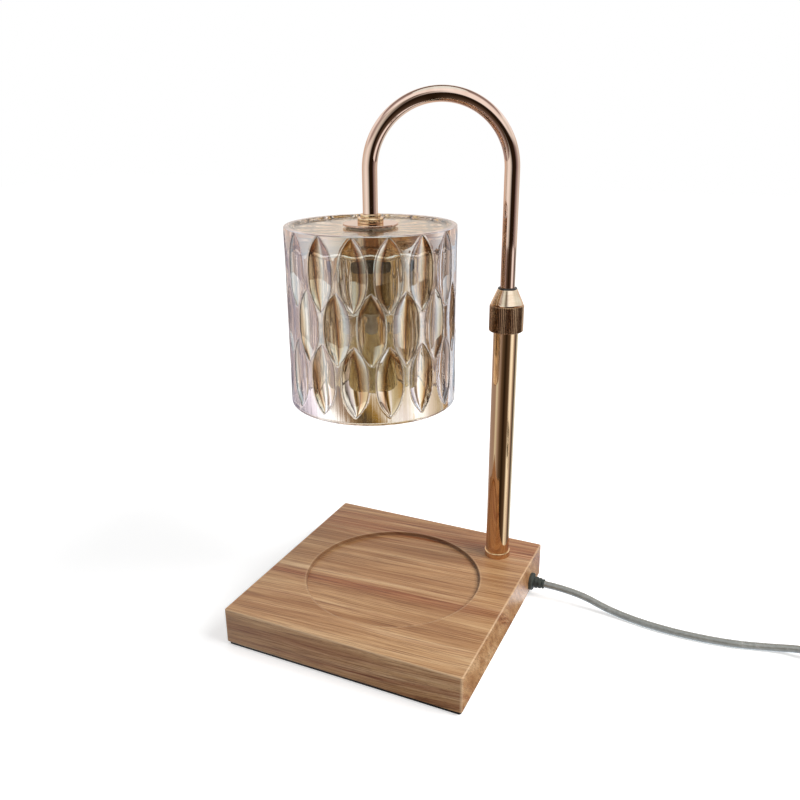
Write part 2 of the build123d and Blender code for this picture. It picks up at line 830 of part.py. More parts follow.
# Grommet with a bending relief, where the lead comes out of the board
gland_axis = Axis((0, pole_y, gland_height), (1, 0, 0))
gland_face = base_size / 2
with BuildPart() as grommet:
    with BuildSketch(Plane.XZ.offset(-pole_y)):
        with BuildLine():
            Polyline(
                (barrel_end, gland_height),
                (barrel_end, gland_height + gland_barrel_dia / 2 - press),
                (gland_face, gland_height + gland_barrel_dia / 2 - press),
                (gland_face, gland_height + gland_flange_dia / 2),
                (gland_face + gland_flange_thick, gland_height + gland_flange_dia / 2),
                (gland_face + gland_flange_thick, gland_height + gland_nose_dia / 2),
                (nose_tip, gland_height + gland_nose_tip_dia / 2),
                (nose_tip, gland_height),
                close=True,
            )
        make_face()
    revolve(axis=gland_axis)
    flange_rim = grommet.edges().filter_by(GeomType.CIRCLE).sort_by(SortBy.RADIUS)[-2:]
    chamfer(flange_rim.sort_by(Axis.X)[-1], gland_flange_chamfer)
grommet.part.label = "cord_grommet"
export_step(grommet.part, "parts/cord_grommet.step")


def cord_piece(name, path):
    """A length of the lead along a path, with its volume compared with its length."""
    with BuildPart() as made:
        with BuildSketch(Plane(path @ 0, z_dir=path % 0)) as section:
            RegularPolygon(cord_dia / 2, cord_sides)
        area = section.sketch.area
        sweep(path=path)
    share = made.part.volume / (area * path.length)
    print(name, "length", round(path.length, 1), "volume over section times length", round(share, 4))
    made.part.label = name
    return made


# Lead from the grommet along the table to the dimmer
cord_lead = cord_piece(
    "cord_lead",
    smooth_path(
        "cord lead",
        (nose_tip, pole_y, gland_height),
        (112, pole_y, gland_height),
        (138, 52, cord_rest),
        (172, 46, cord_rest),
        (210, 48, cord_rest),
        (238, dimmer_y, cord_rest),
        (dimmer_x - 11, dimmer_y, dimmer_split),
        (dimmer_x + cord_hold, dimmer_y, dimmer_split),
    ),
)
export_step(cord_lead.part, "parts/cord_lead.step")

# Lead from the dimmer to the coil
cord_run = cord_piece(
    "cord_run",
    smooth_path(
        "cord run",
        (dimmer_end - cord_hold, dimmer_y, dimmer_split),
        (341, dimmer_y, dimmer_split),
        (354, 48.5, cord_rest),
        (coil_x, 35.5, cord_rest),
        (coil_x, coil_start, cord_rest),
    ),
)
export_step(cord_run.part, "parts/cord_run.step")

# Coil of what is left of the lead: inward on the table, up in one half turn, outward on top of itself
with BuildLine() as coil_line:
    Line((coil_x, coil_start, cord_rest), (coil_x, coil_y, cord_rest))
    here = coil_x
    side = -1
    for turn in range(coil_turns_in):
        radius = coil_outer_radius - turn * coil_step
        middle = here + side * radius
        there = here + 2 * side * radius
        ThreePointArc(
            (here, coil_y, cord_rest),
            (middle, coil_y + side * radius, cord_rest),
            (there, coil_y, cord_rest),
        )
        here = there
        side = -side
    reach = math.sqrt((2 * climb_radius) ** 2 - (coil_high - cord_rest) ** 2)
    ThreePointArc(
        (here, coil_y, cord_rest),
        (here + side * reach / 2, coil_y + side * climb_radius, (cord_rest + coil_high) / 2),
        (here + side * reach, coil_y, coil_high),
    )
    here = here + side * reach
    side = -side
    for turn in range(coil_turns_out):
        radius = coil_second_radius + turn * coil_step
        middle = here + side * radius
        there = here + 2 * side * radius
        ThreePointArc(
            (here, coil_y, coil_high),
            (middle, coil_y + side * radius, coil_high),
            (there, coil_y, coil_high),
        )
        here = there
        side = -side
    plug_x = here
    Line((plug_x, coil_y, coil_high), (plug_x, coil_y - coil_tail, coil_high))
coil_path = coil_line.wire()
cord_coil = cord_piece("cord_coil", coil_path)
export_step(cord_coil.part, "parts/cord_coil.step")

# Least gap between the coil's turns
coil_places = [coil_path @ (step / gap_samples) for step in range(gap_samples + 1)]
apart = coil_path.length / gap_samples
least = coil_path.length
for first in range(gap_samples + 1):
    for second in range(first + int(gap_skip / apart), gap_samples + 1):
        least = min(least, (coil_places[first] - coil_places[second]).length)
print("least gap between the coil's turns", round(least - cord_dia, 2))

# Plug: nose, flat body and two sleeved pins
plug_top = coil_y - coil_tail
body_back = plug_top - plug_nose_length
plug_thick = 2 * coil_high
nose_circle = Plane(origin=(plug_x, plug_top, coil_high), x_dir=(1, 0, 0), z_dir=(0, -1, 0))
with BuildPart() as plug:
    with BuildSketch(nose_circle):
        Circle(cord_dia / 2 + plug_nose_wall)
    with BuildSketch(nose_circle.offset(plug_nose_length)):
        Circle(plug_nose_dia / 2)
    loft()
    with BuildSketch(level(plug_x, body_back, 0)):
        with BuildLine():
            Polyline(
                (-plug_neck_width / 2, 0),
                (plug_neck_width / 2, 0),
                (plug_width / 2, -plug_shoulder),
                (plug_width / 2, -plug_length),
                (-plug_width / 2, -plug_length),
                (-plug_width / 2, -plug_shoulder),
                close=True,
            )
        make_face()
    extrude(amount=plug_thick)
    fillet(plug.edges().filter_by(Axis.Z), plug_edge)
    fillet(plug.edges().group_by(Axis.Y)[0], plug_edge / 2)
    with BuildSketch(nose_circle.offset(plug_nose_length + plug_length)):
        with Locations((-plug_pin_pitch / 2, 0), (plug_pin_pitch / 2, 0)):
            Circle(plug_pin_dia / 2 + press)
    extrude(amount=-plug_pin_root, mode=Mode.SUBTRACT)
plug.part.label = "plug_body"
export_step(plug.part, "parts/plug_body.step")

with BuildPart() as plug_pins:
    with BuildSketch(nose_circle.offset(plug_nose_length + plug_length - plug_pin_root)):
        with Locations((-plug_pin_pitch / 2, 0), (plug_pin_pitch / 2, 0)):
            Circle(plug_pin_dia / 2)
    extrude(amount=plug_pin_root + plug_pin_length)
    chamfer(plug_pins.edges().group_by(Axis.Y)[0], plug_pin_chamfer)
plug_pins.part.label = "plug_pins"
export_step(plug_pins.part, "parts/plug_pins.step")

# Dimmer housing, lower half: floor, side wall, bearings and screw posts
wheel_side = wheel_thick / 2 + wheel_gap
bearing_off = wheel_side + bearing_thick / 2
screw_places = [
    (wheel_x - dimmer_screw_along, dimmer_y + dimmer_screw_across),
    (wheel_x + dimmer_screw_along, dimmer_y - dimmer_screw_across),
]
cavity_length = dimmer_length - 2 * dimmer_wall
cavity_width = dimmer_width - 2 * dimmer_wall
cavity_round = dimmer_round - dimmer_wall
lead_bore = cord_dia / 2 + press
with BuildPart() as dimmer_bottom:
    with BuildSketch(level(wheel_x, dimmer_y, 0)):
        RectangleRounded(dimmer_length, dimmer_width, dimmer_round)
    extrude(amount=dimmer_split)
    chamfer(dimmer_bottom.edges().group_by(Axis.Z)[0], dimmer_foot_chamfer)
    with BuildSketch(level(wheel_x, dimmer_y, dimmer_wall)):
        RectangleRounded(cavity_length, cavity_width, cavity_round)
    extrude(amount=dimmer_split, mode=Mode.SUBTRACT)
    with BuildSketch(level(wheel_x, dimmer_y, dimmer_wall)):
        with Locations((0, -bearing_off), (0, bearing_off)):
            Rectangle(bearing_width, bearing_thick)
    extrude(amount=bearing_top - dimmer_wall)
    with BuildSketch():
        with Locations(*screw_places):
            Circle(dimmer_boss_dia / 2)
    extrude(amount=dimmer_split)
    with BuildSketch():
        with Locations(*screw_places):
            Circle(dimmer_screw_dia / 2 + press)
    extrude(amount=dimmer_split, mode=Mode.SUBTRACT)
    with BuildSketch():
        with Locations(*screw_places):
            Circle(dimmer_screw_head_dia / 2 + press)
    extrude(amount=dimmer_screw_sunk + dimmer_screw_head_height, mode=Mode.SUBTRACT)
    with BuildSketch(Plane.XZ.offset(-dimmer_y)):
        with Locations((wheel_x, wheel_height)):
            Circle(axle_dia / 2 + running)
    extrude(amount=dimmer_width / 2 - dimmer_wall, both=True, mode=Mode.SUBTRACT)
    with BuildSketch(Plane.YZ.offset(wheel_x)):
        with Locations((dimmer_y, dimmer_split)):
            Circle(lead_bore)
    extrude(amount=dimmer_length / 2, both=True, mode=Mode.SUBTRACT)
dimmer_bottom.part.label = "dimmer_bottom"
export_step(dimmer_bottom.part, "parts/dimmer_bottom.step")

# Dimmer housing, upper half: lid with the wheel's slot and two screw posts
lid_inside = dimmer_height - dimmer_wall
slot_half = math.sqrt((wheel_dia / 2) ** 2 - (lid_inside - wheel_height) ** 2) + 2 * wheel_gap
with BuildPart() as dimmer_top:
    with BuildSketch(level(wheel_x, dimmer_y, dimmer_split)):
        RectangleRounded(dimmer_length, dimmer_width, dimmer_round)
    extrude(amount=dimmer_height - dimmer_split)
    chamfer(dimmer_top.edges().group_by(Axis.Z)[-1], dimmer_lid_chamfer)
    with BuildSketch(level(wheel_x, dimmer_y, dimmer_split)):
        RectangleRounded(cavity_length, cavity_width, cavity_round)
    extrude(amount=lid_inside - dimmer_split, mode=Mode.SUBTRACT)
    with BuildSketch(level(wheel_x, dimmer_y, lid_inside)):
        RectangleRounded(2 * slot_half, 2 * wheel_side, wheel_gap)
    extrude(amount=dimmer_wall, mode=Mode.SUBTRACT)
    with BuildSketch(Plane.XY.offset(dimmer_split)):
        with Locations(*screw_places):
            Circle(dimmer_boss_dia / 2)
    extrude(amount=lid_inside - dimmer_split)
    with BuildSketch(Plane.XY.offset(dimmer_split)):
        with Locations(*screw_places):
            Circle(dimmer_screw_dia / 2 + press)
    extrude(amount=dimmer_screw_length, mode=Mode.SUBTRACT)
    with BuildSketch(Plane.YZ.offset(wheel_x)):
        with Locations((dimmer_y, dimmer_split)):
            Circle(lead_bore)
    extrude(amount=dimmer_length / 2, both=True, mode=Mode.SUBTRACT)
dimmer_top.part.label = "dimmer_top"
export_step(dimmer_top.part, "parts/dimmer_top.step")

# Two screws from below
with BuildPart() as dimmer_screws:
    with BuildSketch(Plane.XY.offset(dimmer_screw_sunk)):
        with Locations(*screw_places):
            Circle(dimmer_screw_head_dia / 2)
    extrude(amount=dimmer_screw_head_height)
    with BuildSketch(Plane.XY.offset(dimmer_screw_sunk + dimmer_screw_head_height)):
        with Locations(*screw_places):
            Circle(dimmer_screw_dia / 2)
    extrude(amount=dimmer_screw_length)
dimmer_screws.part.label = "dimmer_screws"
export_step(dimmer_screws.part, "parts/dimmer_screws.step")

# Thumb wheel with its axle
wheel_plane = Plane.XZ.offset(-dimmer_y)
with BuildPart() as wheel:
    with BuildSketch(wheel_plane):
        with Locations((wheel_x, wheel_height)):
            Circle(wheel_dia / 2)
            with PolarLocations(wheel_dia / 2, wheel_notches):
                Circle(wheel_notch_dia / 2, mode=Mode.SUBTRACT)
    extrude(amount=wheel_thick / 2, both=True)
    with BuildSketch(wheel_plane):
        with Locations((wheel_x, wheel_height)):
            Circle(axle_dia / 2)
    extrude(amount=wheel_side + bearing_thick, both=True)
wheel.part.label = "dimmer_wheel"
export_step(wheel.part, "parts/dimmer_wheel.step")

# Small circuit board with its switching block
with BuildPart() as circuit:
    with BuildSketch(level(circuit_x, circuit_y, dimmer_wall)):
        Rectangle(circuit_length, circuit_width, align=Align.MIN)
    extrude(amount=circuit_thick)
    with BuildSketch(level(circuit_x, circuit_y, dimmer_wall + circuit_thick)):
        Rectangle(switch_length, circuit_width, align=Align.MIN)
    extrude(amount=switch_height)
circuit.part.label = "dimmer_circuit"
export_step(circuit.part, "parts/dimmer_circuit.step")
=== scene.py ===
import bmesh
import bpy
from math import atan2, cos, hypot, pi, radians, sin, sqrt
from mathutils import Matrix, Vector


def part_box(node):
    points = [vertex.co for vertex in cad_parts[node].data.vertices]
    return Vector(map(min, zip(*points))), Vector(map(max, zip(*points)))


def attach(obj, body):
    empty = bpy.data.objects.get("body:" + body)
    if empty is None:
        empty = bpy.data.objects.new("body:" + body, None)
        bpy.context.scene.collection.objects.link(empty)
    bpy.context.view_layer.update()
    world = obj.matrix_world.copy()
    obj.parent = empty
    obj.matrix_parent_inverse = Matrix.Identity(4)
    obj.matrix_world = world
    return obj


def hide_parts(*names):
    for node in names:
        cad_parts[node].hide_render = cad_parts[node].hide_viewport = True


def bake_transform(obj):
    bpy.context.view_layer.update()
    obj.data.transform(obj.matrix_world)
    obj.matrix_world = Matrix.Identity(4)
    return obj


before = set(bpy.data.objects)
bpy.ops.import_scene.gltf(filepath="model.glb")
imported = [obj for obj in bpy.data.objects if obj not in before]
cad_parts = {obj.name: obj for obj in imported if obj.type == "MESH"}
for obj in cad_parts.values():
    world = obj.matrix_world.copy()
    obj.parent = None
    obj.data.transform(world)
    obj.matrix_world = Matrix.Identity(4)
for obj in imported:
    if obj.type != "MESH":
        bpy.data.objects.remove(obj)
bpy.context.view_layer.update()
mm = 0.001

# Camera, at the photograph's place

camera = {
    "place": (0.2032188, -0.4241073, 0.32119),
    "turnLeft": 0.435481,
    "tiltDown": 0.347168,
    "roll": -0.0064985,
    "focalPixels": 804.848,
    "imagePixels": 800,
    "sensorWidth": 36.0,
}


def placed(name, data):
    made = bpy.data.objects.new(name, data)
    bpy.context.scene.collection.objects.link(made)
    return made


def makeCamera():
    data = bpy.data.cameras.new("camera")
    data.sensor_fit = "HORIZONTAL"
    data.sensor_width = camera["sensorWidth"]
    data.lens = camera["focalPixels"] / camera["imagePixels"] * camera["sensorWidth"]
    data.clip_start = 0.01
    data.clip_end = 20
    made = placed("camera", data)
    turn, tilt, roll = camera["turnLeft"], camera["tiltDown"], camera["roll"]
    ahead = Vector((-sin(turn) * cos(tilt), cos(turn) * cos(tilt), -sin(tilt)))
    level = Vector((cos(turn), sin(turn), 0))
    above = level.cross(ahead)
    right = cos(roll) * level + sin(roll) * above
    up = cos(roll) * above - sin(roll) * level
    facing = Matrix((right, up, -ahead)).transposed().to_4x4()
    made.matrix_world = Matrix.Translation(camera["place"]) @ facing
    bpy.context.scene.camera = made


makeCamera()
print("camera placed")

# Colours and nodes


def tone(hexText):
    # sRGB hex to the linear colour that a shader takes
    parts = [int(hexText[k:k + 2], 16) / 255 for k in (1, 3, 5)]
    return [p / 12.92 if p <= 0.04045 else ((p + 0.055) / 1.055) ** 2.4 for p in parts] + [1.0]


def add(tree, kind, inputs=None, **settings):
    node = tree.nodes.new(kind)
    for name, value in settings.items():
        setattr(node, name, value)
    for name, value in (inputs or {}).items():
        if isinstance(value, bpy.types.NodeSocket):
            tree.links.new(value, node.inputs[name])
        else:
            node.inputs[name].default_value = value
    return node


def bareMaterial(name):
    material = bpy.data.materials.new(name)
    material.use_nodes = True
    material.node_tree.nodes.clear()
    return material, material.node_tree


def newMaterial(name, **fixed):
    # a material with its Principled shader, whose constant values are set on its own sockets
    material, tree = bareMaterial(name)
    shader = add(tree, "ShaderNodeBsdfPrincipled")
    add(tree, "ShaderNodeOutputMaterial", {"Surface": shader.outputs["BSDF"]})
    for socket, value in fixed.items():
        shader.inputs[socket.replace("_", " ")].default_value = value
    return material, tree, shader


def stretchedNoise(tree, sizes, detail=3.0, rough=0.5, centre=(0, 0, 0)):
    # noise whose cells have these sizes in mm along X, Y and Z
    place = add(tree, "ShaderNodeTexCoord")
    scaled = add(tree, "ShaderNodeMapping", {
        "Vector": place.outputs["Object"],
        "Location": [-c / s for c, s in zip(centre, [size * mm for size in sizes])],
        "Scale": [1 / (size * mm) for size in sizes],
    })
    return add(tree, "ShaderNodeTexNoise", {
        "Vector": scaled.outputs["Vector"], "Scale": 1.0, "Detail": detail, "Roughness": rough,
    })


def spread(tree, value, low, high, fromLow=0.3, fromHigh=0.7):
    # a noise value mapped to a range
    return add(tree, "ShaderNodeMapRange", {
        "Value": value, "From Min": fromLow, "From Max": fromHigh, "To Min": low, "To Max": high,
    }).outputs["Result"]


def ramp(tree, value, stops, ease="LINEAR"):
    made = add(tree, "ShaderNodeValToRGB", {"Fac": value})
    made.color_ramp.interpolation = ease
    points = made.color_ramp.elements
    while len(points) < len(stops):
        points.new(0.5)
    for point, (position, hexText) in zip(points, stops):
        point.position = position
        point.color = tone(hexText)
    return made.outputs["Color"]


def blended(tree, factor, first, second, blend="MIX"):
    # two colours mixed by a factor, each a socket or an sRGB hex value
    node = add(tree, "ShaderNodeMix", {"Factor": factor}, data_type="RGBA", blend_type=blend)
    sockets = [socket for socket in node.inputs if socket.type == "RGBA"]
    for socket, value in zip(sockets, (first, second)):
        if isinstance(value, str):
            socket.default_value = tone(value)
        else:
            tree.links.new(value, socket)
    return [socket for socket in node.outputs if socket.type == "RGBA"][0]


def finish(name, tones, sizes, rough, bump=0.0, bumpSizes=None, depth=0.02, **fixed):
    # a finish with two tones and a roughness that wander by the same slow noise, and a fine relief
    material, tree, shader = newMaterial(name, **fixed)
    slow = stretchedNoise(tree, sizes)
    tree.links.new(ramp(tree, slow.outputs["Fac"], [(0.3, tones[0]), (0.7, tones[1])]),
                   shader.inputs["Base Color"])
    tree.links.new(spread(tree, slow.outputs["Fac"], *rough), shader.inputs["Roughness"])
    if bump:
        fine = stretchedNoise(tree, bumpSizes or [size / 8 for size in sizes])
        relief = add(tree, "ShaderNodeBump", {
            "Height": fine.outputs["Fac"], "Strength": bump, "Distance": depth * mm,
        })
        tree.links.new(relief.outputs["Normal"], shader.inputs["Normal"])
    return material


# Finishes

# Plated and polished brass tube: drawing lines run along it, so reflections are a little drawn out
goldTube = finish("polishedGoldPlatedBrass", ("#CDA67C", "#D9B48C"), (9, 9, 90), (0.05, 0.1),
                  0.12, (0.35, 0.35, 40), Metallic=1.0)
# The same plating with more copper, on the bent tube
roseTube = finish("polishedRoseGoldPlatedSteel", ("#C6A089", "#D2AF99"), (8, 8, 60), (0.04, 0.08),
                  0.08, (0.5, 0.5, 12), Metallic=1.0)
# Knurled grip in copper plating, painted darker as painted shade for its grooves; the tones wander at random
knurlCopperPaintedShade = finish("knurledCopperPaintedShade", ("#A07A5A", "#B48E6C"), (3, 3, 4), (0.18, 0.28),
                     0.15, (0.6, 0.6, 0.4), Metallic=1.0)
# Bright turned cone: champagne plating with turning lines
champagne = finish("turnedChampagnePlating", ("#CFAE8F", "#DDC2A6"), (7, 7, 2), (0.06, 0.1),
                   0.08, (4, 4, 0.2), Metallic=1.0)
# Pressed brass sleeve over the lampholder: olive gold, with press marks
brassSleeve = finish("pressedBrassSleeve", ("#9C8C66", "#B8A886"), (4, 4, 9), (0.14, 0.24),
                     0.2, (0.8, 0.8, 6), Metallic=1.0)
# Zinc plated steel: dull grey with a slight yellow passivation
zincSteel = finish("zincPlatedSteel", ("#9A9B98", "#B0AEA4"), (4, 4, 4), (0.28, 0.42),
                   0.2, (0.4, 0.4, 0.4), Metallic=1.0)
# Nickel on brass contacts and plug pins: bright, with handling marks
nickel = finish("nickelPlatedBrass", ("#B9B4AA", "#CBC6BC"), (3, 3, 6), (0.12, 0.24),
                0.15, (0.3, 0.3, 3), Metallic=1.0)
# Moulded nylon: milky, a little light goes in
nylon = finish("mouldedNylon", ("#D9D5C8", "#E6E3DA"), (6, 6, 6), (0.35, 0.5),
               0.2, (0.5, 0.5, 0.5), Subsurface_Weight=0.15, Subsurface_Radius=(0.002, 0.002, 0.0018))
# Phenolic moulding: black, fine matt grain
blackPlastic = finish("mouldedPhenolic", ("#17140F", "#231F1A"), (5, 5, 5), (0.32, 0.48),
                      0.3, (0.35, 0.35, 0.35))
# Steatite ceramic: white, dense, half matt
ceramic = finish("pressedSteatite", ("#DAD5CA", "#EAE6DE"), (4, 4, 4), (0.45, 0.6),
                 0.4, (0.4, 0.4, 0.4))
# Foam rubber sheet: black, with open pores at its cut edge
foam = finish("blackFoamRubber", ("#141312", "#262422"), (5, 5, 2), (0.8, 0.95),
              0.9, (0.5, 0.5, 0.5), 0.12)
# Silicone gasket: milky warm grey, where light goes a little way in
silicone = finish("clearSilicone", ("#CFC4B8", "#DDD5CA"), (5, 5, 5), (0.18, 0.32),
                  0.2, (0.6, 0.6, 0.6), Subsurface_Weight=0.4, Subsurface_Radius=(0.003, 0.003, 0.003))
# Twin wire in silicone sleeves: pale grey, a little streaked along its run
wireCore = finish("siliconeSleevedWire", ("#B8B2A8", "#D6D1C8"), (2, 2, 20), (0.35, 0.5),
                  0.2, (0.3, 0.3, 0.3))
# Rubber grommet: dark grey green, matt, with mould bloom
rubber = finish("mouldedRubber", ("#2E302C", "#43463F"), (3, 3, 3), (0.55, 0.75),
                0.4, (0.35, 0.35, 0.35), 0.03)
# ABS housing: ivory-grey with a fine spark-eroded grain
absShell = finish("grainedAbs", ("#CFCBC2", "#D8D5CD"), (14, 14, 14), (0.42, 0.55),
                  0.35, (0.45, 0.45, 0.45), 0.03)
# Glass cloth laminate with solder mask
circuitBoard = finish("solderMaskedLaminate", ("#1E5A37", "#2A6E45"), (3, 3, 1), (0.25, 0.45),
                      0.2, (0.6, 0.6, 0.6))

print("finishes made")


def woodFinish():
    # Lacquered ash: growth rings run along X and stand at 45 degrees, so the top and the front show long
    # lines and the right side shows slanted end grain. Thin red brown streaks gather in a few bands
    wood = {
        "sway": 5.0,          # mm that the rings wander
        "slope": -0.07,       # the lines run a little towards the back at their right ends
        "streaks": [          # mm across the rings from the middle, half width and strength
            (-46, 1.5, 0.35), (-20, 4.5, 0.95), (-9, 1.2, 0.4), (22, 1.2, 0.25), (46, 2.5, 0.6),
            (59, 7.5, 1.0), (71, 3.5, 0.85), (-62, 1.5, 0.3), (-88, 2.0, 0.5), (-97, 2.5, 0.8),
            (-106, 2.0, 0.8), (80, 2.0, 0.4),
        ],
        "streakTones": ("#84492A", "#A86C46"),
        "tones": ["#A97B52", "#BF956A", "#CDA67B", "#DBBA92"],
        # painted highlight tone for the recess's lip and the board's edges
        "paintedHighlightTone": "#D4B591",
        # painted shade tone for the rim of the recess
        "paintedRimShadeTone": "#7C5A3E",
        "jointDark": "#8A6446",
        "joint": 6.0,         # mm from the middle to the glue joint of the two staves
    }
    material, tree, shader = newMaterial("lacqueredAsh", Coat_Weight=0.08, Coat_Roughness=0.2,
                                         Specular_IOR_Level=0.35)
    place = add(tree, "ShaderNodeTexCoord")
    parts = add(tree, "ShaderNodeSeparateXYZ", {"Vector": place.outputs["Object"]})
    math = "ShaderNodeMath"
    slow = stretchedNoise(tree, (170, 45, 45), 2.0)
    fall = add(tree, math, {0: parts.outputs["X"], 1: wood["slope"], 2: parts.outputs["Y"]},
               operation="MULTIPLY_ADD")
    rise = add(tree, math, {0: parts.outputs["Z"], 1: 1.0, 2: fall.outputs[0]}, operation="MULTIPLY_ADD")
    across = add(tree, math, {0: slow.outputs["Fac"], 1: 2 * wood["sway"] * mm, 2: rise.outputs[0]},
                 operation="MULTIPLY_ADD")
    down = add(tree, math, {0: parts.outputs["Z"], 1: fall.outputs[0]}, operation="SUBTRACT")
    rings = add(tree, "ShaderNodeCombineXYZ",
                {"X": parts.outputs["X"], "Y": across.outputs[0], "Z": down.outputs[0]})

    def lines(sizes, detail, rough):
        scaled = add(tree, "ShaderNodeMapping", {
            "Vector": rings.outputs["Vector"], "Scale": [1 / (size * mm) for size in sizes],
        })
        return add(tree, "ShaderNodeTexNoise", {
            "Vector": scaled.outputs["Vector"], "Scale": 1.0, "Detail": detail, "Roughness": rough,
        }).outputs["Fac"]

    def within(value, middle, half, soft):
        # 1 inside a band round a middle value, 0 outside, all in mm
        off = add(tree, math, {0: value, 1: middle * mm}, operation="SUBTRACT")
        size = add(tree, math, {0: off.outputs[0]}, operation="ABSOLUTE")
        return add(tree, "ShaderNodeMapRange", {
            "Value": size.outputs[0], "From Min": (half + soft) * mm, "From Max": half * mm,
        }).outputs["Result"]

    broad = lines((210, 12, 30), 2.0, 0.5)
    medium = lines((110, 3.0, 12), 3.0, 0.6)
    thin = lines((52, 0.8, 5), 4.0, 0.7)
    shifted = add(tree, math, {0: medium, 1: 0.3, 2: -0.15}, operation="MULTIPLY_ADD")
    level = add(tree, math, {0: broad, 1: shifted.outputs[0]}, operation="ADD")
    steps = zip((0.32, 0.46, 0.56, 0.7), wood["tones"])
    ground = ramp(tree, level.outputs[0], list(steps))
    # streaks: bands across the rings, broken into fine parallel lines
    topMiddle = board["top"] + wood["sway"]
    total = None
    for middle, half, strength in wood["streaks"]:
        band = add(tree, math, {
            0: within(across.outputs[0], topMiddle + middle, half * 0.4, half * 1.2), 1: strength,
        }, operation="MULTIPLY").outputs[0]
        total = band if total is None else add(tree, math, {0: total, 1: band},
                                               operation="MAXIMUM").outputs[0]
    broken = add(tree, "ShaderNodeMapRange",
                 {"Value": lines((120, 1.5, 9), 3.0, 0.6), "From Min": 0.4, "From Max": 0.62})
    finer = add(tree, math, {0: broken.outputs["Result"], 1: 0.7}, operation="MULTIPLY")
    streak = add(tree, math, {0: total, 1: finer.outputs[0]}, operation="MULTIPLY")
    soft = add(tree, math, {0: total, 1: 0.4, 2: streak.outputs[0]}, operation="MULTIPLY_ADD")
    streakTone = ramp(tree, thin, [(0.35, wood["streakTones"][0]), (0.6, wood["streakTones"][1])])
    colour = blended(tree, soft.outputs[0], ground, streakTone)
    # late wood: thin darker lines
    lineTone = ramp(tree, thin, [(0.36, "#97704F"), (0.5, "#EADAC9"), (0.62, "#FFFFFF")])
    colour = blended(tree, 0.75, colour, lineTone, "MULTIPLY")
    # open pores: dark dashes 0.3 mm wide and 8 mm long
    pores = lines((16, 0.35, 0.5), 2.0, 0.5)
    poreMask = add(tree, "ShaderNodeMapRange", {"Value": pores, "From Min": 0.6, "From Max": 0.7})
    poreShare = add(tree, math, {0: poreMask.outputs["Result"], 1: 0.7}, operation="MULTIPLY")
    colour = blended(tree, poreShare.outputs[0], colour, "#7A5338")
    # the glue joint between the staves shows on the right side as a thin dark line
    jointMask = add(tree, math, {
        0: within(parts.outputs["Y"], wood["joint"], 0.15, 0.2),
        1: add(tree, "ShaderNodeMapRange", {
            "Value": parts.outputs["X"], "From Min": (board["half"] - 1) * mm,
            "From Max": (board["half"] - 0.3) * mm,
        }).outputs["Result"],
    }, operation="MULTIPLY")
    colour = blended(tree, jointMask.outputs[0], colour, wood["jointDark"])
    # painted shade: a dark line round the rim of the recess, where shade falls on its wall; painted
    # highlights: a light line outside the rim and light bands along the board's edges
    radial = add(tree, "ShaderNodeVectorMath", {0: add(tree, "ShaderNodeCombineXYZ", {
        "X": parts.outputs["X"], "Y": parts.outputs["Y"]}).outputs["Vector"]}, operation="LENGTH")
    rim = within(radial.outputs["Value"], board["recessRadius"] - 0.1, 0.25, 0.35)
    paintedRimShadeShare = add(tree, math, {0: rim, 1: 0.6}, operation="MULTIPLY")
    colour = blended(tree, paintedRimShadeShare.outputs[0], colour, wood["paintedRimShadeTone"])
    # painted highlight: a light line just outside the rim of the recess
    lip = within(radial.outputs["Value"], board["recessRadius"] + 0.9, 0.2, 0.4)
    paintedLipHighlightShare = add(tree, math, {0: lip, 1: 0.2}, operation="MULTIPLY")
    colour = blended(tree, paintedLipHighlightShare.outputs[0], colour, wood["paintedHighlightTone"])
    # painted highlight: light bands along the board's top and upright edges
    sizeX = add(tree, math, {0: parts.outputs["X"]}, operation="ABSOLUTE")
    sizeY = add(tree, math, {0: parts.outputs["Y"]}, operation="ABSOLUTE")
    farther = add(tree, math, {0: sizeX.outputs[0], 1: sizeY.outputs[0]}, operation="MAXIMUM")
    topEdge = add(tree, math, {0: farther.outputs[0], 1: parts.outputs["Z"]}, operation="ADD")
    sideEdge = add(tree, math, {0: sizeX.outputs[0], 1: sizeY.outputs[0]}, operation="ADD")
    half, high = board["half"], board["top"]
    paintedEdgeBands = [add(tree, "ShaderNodeMapRange",
                {"Value": value.outputs[0], "From Min": (reach - far) * mm, "From Max": (reach - near) * mm})
            for value, reach, far, near in [(topEdge, half + high, 1.1, 0.6), (sideEdge, 2 * half, 1.7, 0.9)]]
    paintedEdgeHighlight = add(tree, math, {0: paintedEdgeBands[0].outputs["Result"], 1: paintedEdgeBands[1].outputs["Result"]}, operation="MAXIMUM")
    paintedEdgeHighlightShare = add(tree, math, {0: paintedEdgeHighlight.outputs[0], 1: 0.45}, operation="MULTIPLY")
    colour = blended(tree, paintedEdgeHighlightShare.outputs[0], colour, wood["paintedHighlightTone"])
    tree.links.new(colour, shader.inputs["Base Color"])
    tree.links.new(spread(tree, thin, 0.3, 0.48), shader.inputs["Roughness"])
    height = add(tree, math, {0: poreMask.outputs["Result"], 1: -1.0, 2: thin}, operation="MULTIPLY_ADD")
    relief = add(tree, "ShaderNodeBump",
                 {"Height": height.outputs[0], "Strength": 0.3, "Distance": 0.05 * mm})
    tree.links.new(relief.outputs["Normal"], shader.inputs["Normal"])
    return material


